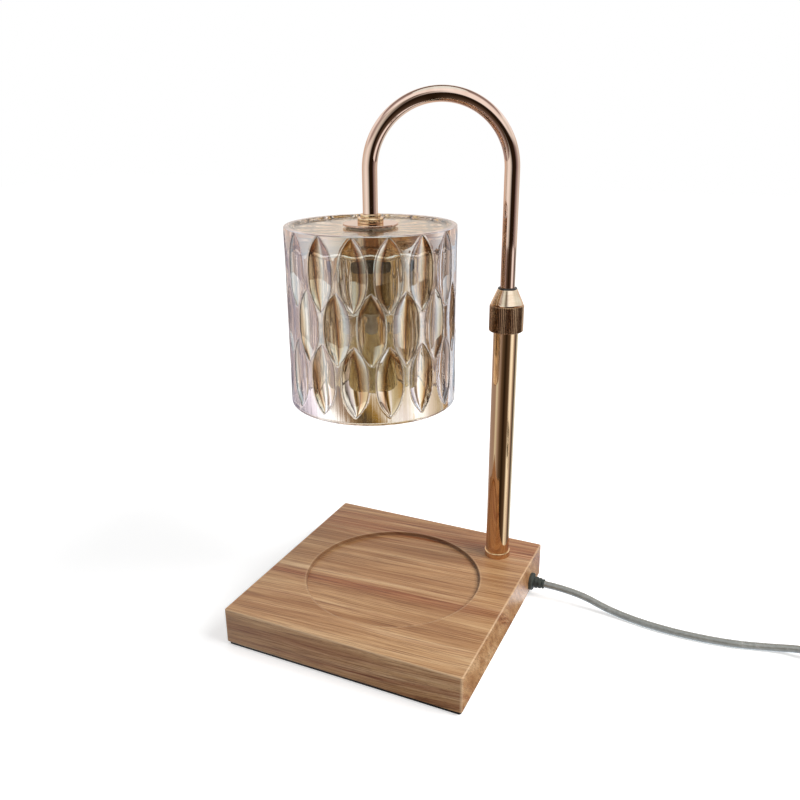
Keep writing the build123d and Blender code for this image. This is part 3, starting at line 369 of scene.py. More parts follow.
def glassFinish():
    # Pressed soda glass. Outside it has a thin champagne metal coating, a third of a mirror, lilac where it
    # is seen at an angle; the glass itself is honey coloured, which shows as amber where light runs along
    # inside the wall
    coating = {
        "metal": 0.36,
        "deep": 3.3,          # mm under the outer face where the coating has ended
        # from straight on to edge on
        "inLeaves": [
            (0.0, "#EFE9DE"), (0.04, "#E4D8C0"), (0.075, "#C8AC80"), (0.105, "#4E2410"), (0.12, "#AE7C4A"),
            (0.17, "#DCC6A4"), (0.25, "#F4EEE6"), (0.5, "#F6EFF5"), (0.8, "#F0E8F4"),
        ],
        "between": [(0.0, "#E0D7C2"), (0.15, "#EBE2D6"), (0.4, "#F4ECEE"), (0.8, "#F0E8F4")],
        # painted shade: the colour and place of the dark line round each leaf
        "clear": "#FAF8F4",
        "line": "#2E1A10",
        "paintedLeafShadeAt": 0.3,
        "paintedLeafShadeHalf": 0.22,
        "paintedLeafShadeShare": 1.0,
        "bead": 0.3,          # mm that the bead round each leaf stands up
        "beadHalf": 0.4,
        "body": "#E7C27B",
        "density": 12.0,
    }
    material, tree, shader = newMaterial("coatedPressedGlass", Transmission_Weight=1.0, IOR=1.5,
                                         Roughness=0.0)
    facing = add(tree, "ShaderNodeLayerWeight", {"Blend": 0.5})
    leaf = add(tree, "ShaderNodeAttribute", attribute_name="leafEdge")
    inLeaf = spread(tree, leaf.outputs["Fac"], 0.0, 1.0, 0.0, 0.2)
    film = blended(tree, inLeaf, ramp(tree, facing.outputs["Facing"], coating["between"]),
                   ramp(tree, facing.outputs["Facing"], coating["inLeaves"]))
    # painted shade: a thin dark brown line at the foot of each bead round the leaves, where the leaf edges
    # look dark
    offPaintedLeafShade = add(tree, "ShaderNodeMath", {0: leaf.outputs["Fac"], 1: coating["paintedLeafShadeAt"]},
                  operation="SUBTRACT")
    offSize = add(tree, "ShaderNodeMath", {0: offPaintedLeafShade.outputs[0]}, operation="ABSOLUTE")
    line = add(tree, "ShaderNodeMapRange",
               {"Value": offSize.outputs[0], "From Min": coating["paintedLeafShadeHalf"], "From Max": 0.0,
                                            "To Max": coating["paintedLeafShadeShare"]})
    film = blended(tree, line.outputs["Result"], film, coating["line"])
    place = add(tree, "ShaderNodeTexCoord")
    flat = add(tree, "ShaderNodeVectorMath", {0: place.outputs["Object"], 1: (1, 1, 0)}, operation="MULTIPLY")
    fromAxis = add(tree, "ShaderNodeVectorMath", {
        0: flat.outputs["Vector"], 1: (shadeSpot["x"] * mm, shadeSpot["y"] * mm, 0),
    }, operation="DISTANCE")
    outer = shadeSpot["radius"] - coating["deep"]
    coated = add(tree, "ShaderNodeMapRange", {
        "Value": fromAxis.outputs["Value"], "From Min": (outer - 0.1) * mm, "From Max": outer * mm,
        "To Max": coating["metal"],
    })
    tree.links.new(coated.outputs["Result"], shader.inputs["Metallic"])
    outside = add(tree, "ShaderNodeMath", {0: coated.outputs["Result"], 1: 0.1}, operation="GREATER_THAN")
    tree.links.new(blended(tree, outside.outputs[0], coating["clear"], film), shader.inputs["Base Color"])
    # the mould leaves slow waves outside, the plunger fine upright lines inside
    waves = stretchedNoise(tree, (6, 6, 8), 1.0)
    lines = stretchedNoise(tree, (1.3, 1.3, 60), 1.0)
    height = add(tree, "ShaderNodeMix", {
        "Factor": outside.outputs[0], "A": lines.outputs["Fac"], "B": waves.outputs["Fac"],
    })
    relief = add(tree, "ShaderNodeBump",
                 {"Height": height.outputs["Result"], "Strength": 0.5, "Distance": 0.1 * mm})
    # a fine bead runs round every leaf, where the cutter's edge left the mould
    away = add(tree, "ShaderNodeMath", {0: leaf.outputs["Fac"]}, operation="ABSOLUTE")
    bead = add(tree, "ShaderNodeMapRange",
               {"Value": away.outputs[0], "From Min": coating["beadHalf"], "From Max": 0.0},
               interpolation_type="SMOOTHSTEP")
    raised = add(tree, "ShaderNodeBump", {
        "Height": bead.outputs["Result"], "Strength": 1.0, "Distance": coating["bead"] * mm,
        "Normal": relief.outputs["Normal"],
    })
    tree.links.new(raised.outputs["Normal"], shader.inputs["Normal"])
    tint = add(tree, "ShaderNodeVolumeAbsorption",
               {"Color": tone(coating["body"]), "Density": coating["density"]})
    tree.links.new(tint.outputs["Volume"], tree.nodes["Material Output"].inputs["Volume"])
    return material


# Coated reflector glass: a metal film with an olive gold cast, seen through the neck's glass
reflectorLook = finish("dichroicReflectorGlass", ("#D6C796", "#F2E7BE"), (6, 6, 6), (0.04, 0.1),
                       0.6, (2.5, 2.5, 2.5), 0.3, Metallic=0.85)
lensLook = finish("pressedLensGlass", ("#F6F3EA", "#FFFFFF"), (6, 6, 6), (0.02, 0.06),
                  0.3, (1.6, 1.6, 1.6), 0.2, Transmission_Weight=1.0, IOR=1.47)
capsuleLook = finish("frostedQuartz", ("#F2EEE2", "#FFFFFF"), (3, 3, 6), (0.2, 0.35),
                     0.2, (0.5, 0.5, 0.5), Transmission_Weight=0.8, IOR=1.46)
# Soft PVC lead: clear grey sheath over two twisted cores
leadLook = finish("clearPvcSheath", ("#77746C", "#8E8B82"), (2.5, 2.5, 2.5), (0.16, 0.28),
                  0.15, (0.5, 0.5, 0.5), Coat_Weight=0.5, Coat_Roughness=0.12)
print("glass made")

# Cords: the same points as the route in the part's source, in mm

lead = {
    "diameter": 4.8,
    "route": [
        (90, 55, 10), (112, 55, 10), (138, 52, 2.4), (172, 46, 2.4), (210, 48, 2.4),
        (238, 56, 2.4), (253, 56, 6), (268, 56, 6),
    ],
    "length": 180.6,
}
coil = {
    "start": [(324, 56, 6), (341, 56, 6), (354, 48.5, 2.4), (361.5, 35.5, 2.4), (361.5, 20.5, 2.4)],
    "x": 361.5,
    "y": 4.0,
    "low": 2.4,
    "high": 7.7,
    "outerRadius": 36.4,
    "step": 2.65,
    "turnsIn": 7,
    "climbRadius": 17.6,
    "secondRadius": 20.5,
    "turnsOut": 6,
    "tail": 28.0,
    "length": 61.4 + 1236.7,
    "pointsPerHalf": 8,
}


def coilRoute():
    points = list(coil["start"]) + [(coil["x"], coil["y"] + 5, coil["low"])]
    here, side = coil["x"], -1
    turns = [(coil["outerRadius"] - k * coil["step"], coil["low"],
              coil["low"]) for k in range(coil["turnsIn"])]
    turns.append((coil["climbRadius"], coil["low"], coil["high"]))
    turns += [(coil["secondRadius"] + k * coil["step"], coil["high"],
               coil["high"]) for k in range(coil["turnsOut"])]
    count = coil["pointsPerHalf"]
    for radius, low, high in turns:
        reach = radius
        if high > low:
            reach = sqrt((2 * radius) ** 2 - (high - low) ** 2) / 2
        first = 0 if side < 0 else pi
        for k in range(count):
            share = (k + 0.5) / count
            angle = first - share * pi
            wide = 1 / cos(pi / 2 / count)
            points.append((
                here + side * reach + reach * wide * cos(angle),
                coil["y"] + radius * wide * sin(angle),
                low + (high - low) * share,
            ))
        here += side * 2 * reach
        side = -side
    points.append((here, coil["y"] - 4, coil["high"]))
    points.append((here, coil["y"] - coil["tail"], coil["high"]))
    return points, here


def makeCord(name, route):
    data = bpy.data.curves.new(name, "CURVE")
    data.dimensions = "3D"
    data.resolution_u = 6
    data.bevel_depth = lead["diameter"] / 2 * mm
    data.bevel_resolution = 4
    data.use_fill_caps = True
    line = data.splines.new("NURBS")
    line.points.add(len(route) - 1)
    for point, place in zip(line.points, route):
        point.co = (*[p * mm for p in place], 1.0)
    line.order_u = 3
    line.use_endpoint_u = True
    line.use_smooth = True
    data.materials.append(leadLook)
    made = placed(name, data)
    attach(made, "base")
    return made


leadCord = makeCord("mainsLead", lead["route"])
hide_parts("cord_lead")
storedRoute, plugX = coilRoute()
storedCord = makeCord("coiledLead", storedRoute)
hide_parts("cord_run", "cord_coil")
print("cords laid")

# Mesh tools


def spot(node):
    # the upright axis, radius and heights of a round CAD node, in mm
    low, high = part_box(node)
    return {
        "x": (low.x + high.x) / 2 / mm, "y": (low.y + high.y) / 2 / mm,
        "bottom": low.z / mm, "top": high.z / mm, "radius": (high.x - low.x) / 2 / mm,
    }


def turned(outline, steps=96, rounds=(), segments=4, closed=True):
    # an outline of (radius, height) pairs in mm, rounded at numbered corners, spun round the Z axis
    bm = bmesh.new()
    points = [bm.verts.new((radius * mm, 0, height * mm)) for radius, height in outline]
    ends = points[1:] + points[:1] if closed else points[1:]
    for first, second in zip(points, ends):
        bm.edges.new((first, second))
    for radius, corners in rounds:
        bmesh.ops.bevel(bm, geom=[points[k] for k in corners], offset=radius * mm, segments=segments,
                        profile=0.5, affect="VERTICES", material=-1, clamp_overlap=True)
    bmesh.ops.spin(bm, geom=bm.verts[:] + bm.edges[:], cent=(0, 0, 0), axis=(0, 0, 1), dvec=(0, 0, 0),
                   angle=2 * pi, steps=steps, use_merge=True)
    return bm


def meshOf(name, bm):
    mesh = bpy.data.meshes.new(name)
    bm.to_mesh(mesh)
    bm.free()
    return mesh


def bevelled(bm, parts, size, segments, affect="EDGES"):
    bmesh.ops.bevel(bm, geom=list(parts), offset=size * mm, segments=segments, profile=0.5,
                    affect=affect, material=-1)


def ofKind(parts, kind):
    return [part for part in parts if isinstance(part, kind)]


def raised(bm, faces, height):
    # faces drawn out along Z, in mm
    grown = bmesh.ops.extrude_face_region(bm, geom=faces)
    bmesh.ops.translate(bm, vec=(0, 0, height * mm), verts=ofKind(grown["geom"], bmesh.types.BMVert))


def laid(bm, axis):
    # turned by a quarter about X or Y
    bmesh.ops.rotate(bm, cent=(0, 0, 0), matrix=Matrix.Rotation(pi / 2, 3, axis), verts=bm.verts)


def grooved(bm, count, depth, half, taken):
    # straight V grooves with a flat between them, where taken agrees to a radius and a height in mm
    for vert in bm.verts:
        across = hypot(vert.co.x, vert.co.y)
        if taken(across / mm, vert.co.z / mm):
            share = atan2(vert.co.y, vert.co.x) / (2 * pi) * count % 1
            valley = max(0.0, 1 - abs(share - 0.5) / half)
            scale = 1 - depth * mm * valley / across
            vert.co.x *= scale
            vert.co.y *= scale


def ringOutline(inside, radius, low, high):
    return [(inside, low), (radius, low), (radius, high), (inside, high)]


def moved(bm, x, y, z=0.0):
    bmesh.ops.translate(bm, vec=(x * mm, y * mm, z * mm), verts=bm.verts)
    return bm


def joined(parts):
    # several bmeshes as one
    whole = bmesh.new()
    for part in parts:
        mesh = meshOf("part", part)
        whole.from_mesh(mesh)
        bpy.data.meshes.remove(mesh)
    return whole


def makePiece(bm, name, looks, body, replaced=(), sharp=40):
    bmesh.ops.remove_doubles(bm, verts=bm.verts, dist=1e-6)
    bmesh.ops.recalc_face_normals(bm, faces=bm.faces)
    for face in bm.faces:
        face.smooth = True
    mesh = meshOf(name, bm)
    mesh.set_sharp_from_angle(angle=radians(sharp))
    for look in looks:
        mesh.materials.append(look)
    made = placed(name, mesh)
    even = made.modifiers.new("evenShading", "WEIGHTED_NORMAL")
    even.keep_sharp = True
    if body:
        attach(made, body)
    if replaced:
        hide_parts(*replaced)
    return made


def dress(node, look):
    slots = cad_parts[node].data.materials
    slots.clear()
    slots.append(look)


poleSpot = spot("pole_tube")
shadeSpot = spot("shade_glass")
boardSpot = spot("base_board")


def onShade(bm, z=0.0):
    return moved(bm, shadeSpot["x"], shadeSpot["y"], z)


# Board

board = {
    "half": boardSpot["radius"],
    "bottom": boardSpot["bottom"],
    "top": boardSpot["top"],
    "corner": 1.4,
    "edge": 0.8,
    "recessRadius": 58.0,
    "recessDepth": 2.5,
    "recessEdge": 0.5,
    "recessFoot": 0.4,
    "steps": 160,
}


def makeBoard():
    bm = bmesh.new()
    grid = bmesh.ops.create_grid(bm, x_segments=1, y_segments=1, size=board["half"] * mm)
    bmesh.ops.translate(bm, vec=(0, 0, board["bottom"] * mm), verts=bm.verts)
    bevelled(bm, grid["verts"], board["corner"], 5, "VERTICES")
    raised(bm, bm.faces[:], board["top"] - board["bottom"])
    flat = [f for f in bm.faces if abs(f.normal.z) > 0.9]
    rims = {edge for face in flat for edge in face.edges}
    bevelled(bm, rims, board["edge"], 4)
    top = max(bm.faces, key=lambda f: f.calc_center_median().z)
    outer = list(top.edges)
    bmesh.ops.delete(bm, geom=[top], context="FACES_ONLY")
    # the recess: rim, rounded mouth, wall and floor
    ring = bmesh.ops.create_circle(bm, segments=board["steps"], radius=board["recessRadius"] * mm)
    bmesh.ops.translate(bm, vec=(0, 0, board["top"] * mm), verts=ring["verts"])
    circle = list({edge for vert in ring["verts"] for edge in vert.link_edges})
    bmesh.ops.bridge_loops(bm, edges=outer + circle)
    wall = bmesh.ops.extrude_edge_only(bm, edges=circle)
    footVerts = ofKind(wall["geom"], bmesh.types.BMVert)
    bmesh.ops.translate(bm, vec=(0, 0, -board["recessDepth"] * mm), verts=footVerts)
    footEdges = [e for e in bm.edges if e.verts[0] in footVerts and e.verts[1] in footVerts]
    floor = bmesh.ops.contextual_create(bm, geom=footEdges)
    bmesh.ops.recalc_face_normals(bm, faces=bm.faces)
    bevelled(bm, circle, board["recessEdge"], 4)
    foot = list(floor["faces"][0].edges)
    bevelled(bm, foot, board["recessFoot"], 3)
    return bm


ash = woodFinish()
coatedGlass = glassFinish()
print("wood and glass looks made")
makePiece(makeBoard(), "woodenBoard", [ash], "base", ["base_board"])
print("board made")

# Pole, its ring and the lock nut

poleParts = {
    "wall": 1.0,
    "ringRound": 0.5,
    "endRound": 0.2,
    "knurlCount": 60,
    "knurlDepth": 0.4,
    "knurlHalf": 0.36,
    "knurlChamfer": 0.5,
    "coneBase": 10.3,
    "coneTop": 6.2,
    "coneFoot": 1.2,
    "mouth": 5.66,
    "lipSeat": 5.64,
    "lipThick": 0.8,
    "bore": 8.05,
    "knurlHeight": 17.0,
}


neck = {"radius": 4.65, "solidRadius": 5.0, "wall": 1.0, "end": 232.3, "around": 64, "bendSteps": 96,
        "bendRadius": 42.5}


def makePole():
    radius, low, high = poleSpot["radius"], poleSpot["bottom"], poleSpot["top"]
    outline = ringOutline(radius - poleParts["wall"], radius, low, high)
    bm = moved(turned(outline, 128, [(poleParts["endRound"], (2, 3))], 2), poleSpot["x"], poleSpot["y"])
    makePiece(bm, "goldPole", [goldTube], "base", ["pole_tube"])
    ring = spot("pole_foot_ring")
    outline = ringOutline(radius + 0.02, ring["radius"], ring["bottom"], ring["top"])
    bm = moved(turned(outline, 128, [(poleParts["ringRound"], (2,))], 4), ring["x"], ring["y"])
    makePiece(bm, "poleFootRing", [goldTube], "base", ["pole_foot_ring"])


def makeLockNut():
    nut = spot("lock_nut")
    low, high, radius = nut["bottom"], nut["top"], nut["radius"]
    bandTop = low + poleParts["knurlHeight"]
    chamfer = poleParts["knurlChamfer"]
    outline = [
        (poleParts["bore"], low),
        (radius - chamfer, low),
        (radius, low + chamfer),
        (radius, bandTop - chamfer),
        (radius - chamfer, bandTop),
        (poleParts["coneBase"] - 0.5, bandTop),
        (poleParts["coneBase"], bandTop + 0.5),
        (poleParts["coneBase"] - 0.15, bandTop + poleParts["coneFoot"]),
        (poleParts["coneTop"], high),
        (poleParts["mouth"], high),
        (poleParts["mouth"], high - 3),
        (poleParts["bore"], bandTop - 1),
    ]
    count = poleParts["knurlCount"]
    bm = turned(outline, count * 8, [(0.25, (8,)), (0.2, (1, 4))], 3)
    grooved(bm, count, poleParts["knurlDepth"], poleParts["knurlHalf"],
            lambda across, height: across > radius - 0.05 and height < bandTop + 0.05)
    for face in bm.faces:
        middle = face.calc_center_median()
        face.material_index = 1 if middle.z > bandTop * mm - 1e-5 else 0
    moved(bm, nut["x"], nut["y"])
    # the knurled band takes the copper plating with painted shade, the cone the champagne plating
    makePiece(bm, "knurledLockNut", [knurlCopperPaintedShade, champagne], "lock_nut", ["lock_nut"], 30)
    lip = spot("nut_lip_ring")
    inside = neck["radius"] + 0.05
    seat, under = poleParts["lipSeat"], lip["top"] - poleParts["lipThick"]
    outline = [(inside, lip["bottom"]), (seat, lip["bottom"]), (seat, under), (lip["radius"], under),
               (lip["radius"], lip["top"]), (inside, lip["top"])]
    bm = moved(turned(outline, 96, [(0.25, (4, 5))], 3), lip["x"], lip["y"])
    makePiece(bm, "nutLipRing", [blackPlastic], "lock_nut", ["nut_lip_ring"])


makePole()
makeLockNut()
print("pole made")

# Gooseneck


def makeGooseneck():
    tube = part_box("gooseneck_tube")
    top = tube[1].z / mm - neck["solidRadius"]
    neck["bottom"] = tube[0].z / mm
    neck["bendStart"] = top - neck["bendRadius"]
    away = Vector((shadeSpot["x"] - poleSpot["x"], shadeSpot["y"] - poleSpot["y"], 0)).normalized()
    bm = bmesh.new()
    rings = []
    for radius in (neck["radius"], neck["radius"] - neck["wall"]):
        ring = bmesh.ops.create_circle(bm, segments=neck["around"], radius=radius * mm)
        rings += list({edge for vert in ring["verts"] for edge in vert.link_edges})
    bmesh.ops.bridge_loops(bm, edges=rings)
    moved(bm, poleSpot["x"], poleSpot["y"], neck["bottom"])

    def grow(vec):
        made = bmesh.ops.extrude_face_region(bm, geom=ends)
        bmesh.ops.translate(bm, vec=vec, verts=ofKind(made["geom"], bmesh.types.BMVert))
        return ofKind(made["geom"], bmesh.types.BMFace)

    ends = bm.faces[:]
    ends = grow((0, 0, (neck["bendStart"] - neck["bottom"]) * mm))
    middle = Vector((poleSpot["x"] * mm, poleSpot["y"] * mm,
                     neck["bendStart"] * mm)) + away * neck["bendRadius"] * mm
    turnAxis = Vector((0, 0, 1)).cross(away)
    around = {part for face in ends for part in (*face.verts, *face.edges, face)}
    spun = bmesh.ops.spin(bm, geom=list(around), cent=middle, axis=turnAxis, dvec=(0, 0, 0),
                          angle=pi, steps=neck["bendSteps"])
    ends = ofKind(spun["geom_last"], bmesh.types.BMFace)
    grow((0, 0, (neck["end"] - neck["bendStart"]) * mm))
    return bm


makePiece(makeGooseneck(), "gooseneckTube", [roseTube], "arm", ["gooseneck_tube"])
print("gooseneck made")

# Glass shade

glass = {
    "wall": 5.0,
    "rimWidth": 5.0,
    "rimHeight": 1.5,
    "plate": 9.5,
    "hole": 5.4,
    "ceilingRound": 3.4,
    "rimRound": 1.5,
    "topRound": 0.8,
    "steps": 512,
    "rings": 150,
    "leaves": 16,
    "rows": 3,
    "leafLength": 44.0,
    "leafDepth": 2.6,
    "leafHalf": 8.4,
    "firstRow": 26.9,
    "rowPitch": 31.35,
    "leafTurn": 296.4,
    "ridgeSoft": 0.1,
    "scallop": 0.7,
    "cornerReach": 4.5,
    "edgeRound": 0.9,
    "farFromLeaf": -2.0,
}


def leafSurface(angle, height, outside):
    # how deep the leaf hollows go at an angle and a height, in mm: each is a pointed boat shape.
    # Below 0 it is how far the nearest leaf is away
    deepest = glass["farFromLeaf"]
    half = glass["leafLength"] / 2
    pitch = 2 * pi / glass["leaves"]
    for row in range(glass["rows"]):
        t = abs(height - glass["firstRow"] - row * glass["rowPitch"]) / half
        if t >= 1:
            continue
        turn = radians(glass["leafTurn"] + (row + 1) % 2 * 180 / glass["leaves"])
        off = ((angle - turn + pitch / 2) % pitch - pitch / 2) * outside
        width = glass["leafHalf"] * (1 - t ** 2.8)
        share = max(1 - (off / width) ** 2, -3)
        deepest = max(deepest, glass["leafDepth"] * (1 - t * t) ** 0.6 * share)
    return deepest


def makeShade():
    outside, low, high = shadeSpot["radius"], shadeSpot["bottom"], shadeSpot["top"]
    disc = high - glass["rimHeight"]
    ceiling = disc - glass["plate"]
    inside = outside - glass["wall"]
    bm = bmesh.new()
    outline = [
        (glass["hole"], ceiling), (inside, ceiling), (inside, low), (outside, low), (outside, high),
        (outside - glass["rimWidth"], high), (outside - glass["rimWidth"] - glass["rimHeight"], disc),
        (glass["hole"], disc),
    ]
    points = [bm.verts.new((radius * mm, 0, height * mm)) for radius, height in outline]
    for first, second in zip(points, points[1:] + points[:1]):
        bm.edges.new((first, second))
    for radius, corners, segments in [(glass["ceilingRound"], (1,), 10), (glass["rimRound"], (3,), 6),
                                      (glass["edgeRound"], (2, 5, 6), 4),
                                      (glass["topRound"], (4,), 5)]:
        bevelled(bm, [points[k] for k in corners], radius, segments, "VERTICES")
    wall = [e for e in bm.edges if e.calc_length() > 90 * mm and e.verts[0].co.x > (outside - 0.1) * mm]
    bmesh.ops.subdivide_edges(bm, edges=wall, cuts=glass["rings"])
    bmesh.ops.spin(bm, geom=bm.verts[:] + bm.edges[:], cent=(0, 0, 0), axis=(0, 0, 1), dvec=(0, 0, 0),
                   angle=2 * pi, steps=glass["steps"], use_merge=True)
    leafEdge = bm.verts.layers.float.new("leafEdge")
    for vert in bm.verts:
        across = hypot(vert.co.x, vert.co.y) / mm
        angle = atan2(vert.co.y, vert.co.x)
        vert[leafEdge] = glass["farFromLeaf"]
        if across > outside - glass["rimRound"] - 0.5:
            cut = leafSurface(angle, vert.co.z / mm - low, outside)
            vert[leafEdge] = cut
            reach = outside - (cut + sqrt(cut * cut + glass["ridgeSoft"] ** 2)) / 2
            if reach < across:
                vert.co.x *= reach / across
                vert.co.y *= reach / across
        elif (inside - glass["cornerReach"] < across < inside + 0.1
              and abs(vert.co.z / mm - ceiling) < glass["cornerReach"]):
            # the plunger has left the ceiling's corner in shallow scallops, one for each leaf of the top row
            turn = angle - radians(glass["leafTurn"]) - pi / glass["leaves"]
            vert.co.z -= glass["scallop"] * mm * cos(glass["leaves"] * turn)
    return onShade(bm)


makePiece(makeShade(), "leafCutShade", [coatedGlass], "arm", ["shade_glass"], 60)
print("shade made")

# Washers, gaskets and nuts on the shade

clamp = {"tube": neck["radius"] + 0.02, "round": 0.3, "nutStep": 3.5, "collarRound": 0.5, "nutRound": 1.0,
         "collar": 6.3, "flats": 14.0, "hexEdge": 0.35}


def flatRing(node, inside, look, name, rounding=None):
    at = spot(node)
    outline = ringOutline(inside, at["radius"], at["bottom"], at["top"])
    bm = turned(outline, 96, [(rounding or clamp["round"], (1, 2))], 4)
    return makePiece(onShade(bm), name, [look], "arm", [node])


def makeClamps():
    flatRing("top_gasket", glass["hole"], silicone, "topGasket")
    flatRing("under_gasket", glass["hole"], silicone, "underGasket")
    flatRing("shade_washer", clamp["tube"], roseTube, "shadeWasher")
    flatRing("under_washer", clamp["tube"], roseTube, "underWasher")
    nut = spot("shade_nut")
    step = nut["bottom"] + clamp["nutStep"]
    outline = [
        (clamp["tube"], nut["bottom"]), (nut["radius"], nut["bottom"]), (nut["radius"], step),
        (clamp["collar"], step), (clamp["collar"], nut["top"]), (clamp["tube"], nut["top"]),
    ]
    bm = turned(outline, 96, [(clamp["nutRound"], (2,)), (clamp["collarRound"], (4,)), (clamp["round"], (1,
        ))], 5)
    makePiece(onShade(bm), "shadeNut", [goldTube], "arm", ["shade_nut"])
    under = spot("under_nut")
    bm = bmesh.new()
    hexagon = bmesh.ops.create_circle(bm, segments=6, radius=clamp["flats"] / 2 / cos(pi / 6) * mm)
    hole = bmesh.ops.create_circle(bm, segments=48, radius=clamp["tube"] * mm)
    edges = {edge for vert in hexagon["verts"] + hole["verts"] for edge in vert.link_edges}
    bmesh.ops.bridge_loops(bm, edges=list(edges))
    raised(bm, bm.faces[:], under["top"] - under["bottom"])
    rims = [e for e in bm.edges if min(hypot(v.co.x,
                                             v.co.y) for v in e.verts) > 6.5 * mm and len(e.link_faces) == 2
            and e.calc_face_angle() > 0.5]
    bevelled(bm, rims, clamp["hexEdge"], 3)
    makePiece(onShade(bm, under["bottom"]), "underNut", [goldTube], "arm", ["under_nut"])


makeClamps()
print("clamps made")

# Lampholder and bulb

holder = {
    "capTop": 10.0, "capWall": 2.0, "ribs": 20, "ribDepth": 0.9, "chamber": 9.0, "chamberDepth": 8.0,
    "wireHole": 2.0, "ribHalf": 0.3,
}
bulb = {
    "neckTop": 9.0, "baseFoot": 11.5, "baseStep": 6.5, "socket": 4.0, "neck": 10.0, "wall": 1.3,
    "bulge": 1.248,
    "collar": 2.0, "facets": 24, "facetRows": 9, "capsuleRadius": 4.0, "capsuleLength": 24.0,
    "facetInside": 0.35, "facetOutside": 0.22, "lensRings": 14, "lensletDepth": 0.35, "lensletPitch": 1.7,
}


def makeHolder():
    cap = spot("holder_cap")
    body = spot("lampholder_body")
    middle = (cap["bottom"] + cap["top"]) / 2
    radius = body["radius"]
    outline = [
        (clamp["tube"], cap["top"]), (holder["capTop"], cap["top"]), (radius + 0.4, middle),
        (radius + 0.4, cap["bottom"]),
        (radius - holder["capWall"], cap["bottom"]), (radius - holder["capWall"], middle),
        (clamp["tube"] + holder["capWall"], cap["top"] - 5), (clamp["tube"], cap["top"] - 5),
    ]
    count = holder["ribs"]
    bm = turned(outline, count * 12, [(0.8, (1,)), (1.2, (2,)), (0.4, (3,))], 4)
    grooved(bm, count, holder["ribDepth"], holder["ribHalf"],
            lambda across, height: across > radius - 1.2 and height < middle + 1.5)
    makePiece(onShade(bm), "ribbedHolderCap", [blackPlastic], "arm", ["holder_cap"])
    low, high = body["bottom"], body["top"]
    step = low + holder["chamberDepth"]
    outline = [
        (holder["wireHole"], high), (radius, high), (radius, high - 3), (radius - 0.8, high - 3.6),
        (radius - 0.8, low + 6),
        (radius, low + 5.4), (radius, low), (holder["chamber"], low), (holder["chamber"], step),
        (holder["wireHole"], step),
    ]
    bm = turned(outline, 96, [(0.3, (1, 2, 3, 4, 5, 6))], 3)
    for face in bm.faces:
        # a phenolic collar above the brass sleeve
        face.material_index = 0 if face.calc_center_median().z > (high - 1.2) * mm else 1
    makePiece(onShade(bm), "lampholderBody", [blackPlastic, brassSleeve], "arm",
              ["lampholder_body"])


def makeBulb():
    base = spot("bulb_base")
    high, low = base["top"], base["bottom"]
    outline = [
        (0, high), (bulb["neckTop"], high), (bulb["neckTop"], high - bulb["baseStep"]),
        (bulb["baseFoot"], low + bulb["socket"]),
        (bulb["baseFoot"], low), (bulb["neck"] + 0.02, low), (bulb["neck"] + 0.02, low + bulb["socket"]),
        (0, low + bulb["socket"]),
    ]
    bm = turned(outline, 96, [(0.6, (1, 2, 3)), (0.3, (4,))], 4, closed=False)
    makePiece(onShade(bm), "bulbBase", [ceramic], "bulb", ["bulb_base"])
    shell = spot("bulb_reflector")
    bottom, radius, wall = shell["bottom"], shell["radius"], bulb["wall"]
    curve = []
    for k in range(25):
        share = k / 24
        swell = bulb["bulge"] * 4 * share * (1 - share)
        curve.append((bulb["neck"] + (radius - bulb["neck"]) * share + swell,
                      low + (bottom + bulb["collar"] - low) * share))
    outer = [(bulb["neck"], low + bulb["socket"])] + curve + [(radius, bottom)]
    inner = [(x - wall, z) for x, z in outer]
    steps = bulb["facets"] * 8
    bm = turned(outer + inner[::-1], steps, [(0.3, (len(outer) - 1, len(outer)))], 3)
    for vert in bm.verts:
        across = hypot(vert.co.x, vert.co.y)
        height = vert.co.z / mm
        share = (low - height) / (low - bottom - bulb["collar"])
        if 0.05 < share < 0.98:
            line = bulb["neck"] + (radius - bulb["neck"]) * share + bulb["bulge"] * 4 * share * (1 - share)
            # facets pressed into the mirror, which show faintly outside too
            sideways = abs(atan2(vert.co.y, vert.co.x) / (2 * pi) * bulb["facets"] % 1 - 0.5)
            down = abs(share * bulb["facetRows"] % 1 - 0.5)
            deep = bulb["facetInside"] if across < (line - wall / 2) * mm else bulb["facetOutside"]
            scale = 1 - deep * mm * (0.5 - max(sideways, down)) * 2 / across
            vert.co.x *= scale
            vert.co.y *= scale
    makePiece(onShade(bm), "bulbReflector", [reflectorLook], "bulb", ["bulb_reflector"])
    lens = spot("bulb_lens")
    rings = bulb["lensRings"]
    outline = [(0, lens["top"])] + [(lens["radius"] * k / rings, lens["top"]) for k in range(1, rings + 1)]
    outline += [(lens["radius"], lens["bottom"]), (0, lens["bottom"])]
    bm = turned(outline, 96, [(0.3, (len(outline) - 2,))], 3, closed=False)
    for vert in bm.verts:
        across = hypot(vert.co.x, vert.co.y) / mm
        if vert.co.z > (lens["top"] - 0.1) * mm and across < lens["radius"] - 1:
            # rings of small lenses on the inner face
            turn = atan2(vert.co.y, vert.co.x)
            dip = bulb["lensletDepth"] * abs(sin(across * bulb["lensletPitch"]))
            vert.co.z -= dip * mm * (0.6 + 0.4 * cos(12 * turn))
    makePiece(onShade(bm), "bulbLens", [lensLook], "bulb", ["bulb_lens"])
    top = low + bulb["socket"]
    outline = [(0, top), (bulb["capsuleRadius"], top), (bulb["capsuleRadius"], top - bulb["capsuleLength"]),
               (0, top - bulb["capsuleLength"])]
    bm = turned(outline, 64, [(3.2, (2,)), (0.3, (1,))], 8, closed=False)
    makePiece(onShade(bm), "bulbCapsule", [capsuleLook], "bulb", ["bulb_capsule"])


makeHolder()
makeBulb()
print("lampholder and bulb made")

# Grommet with its bending relief

gland = {"height": 10.0, "barrel": 3.98, "flange": 6.0, "flangeThick": 2.4, "nose": 4.3, "tip": 3.2,
         "grooves": 3, "wireBore": 2.3, "leadBore": 2.42}


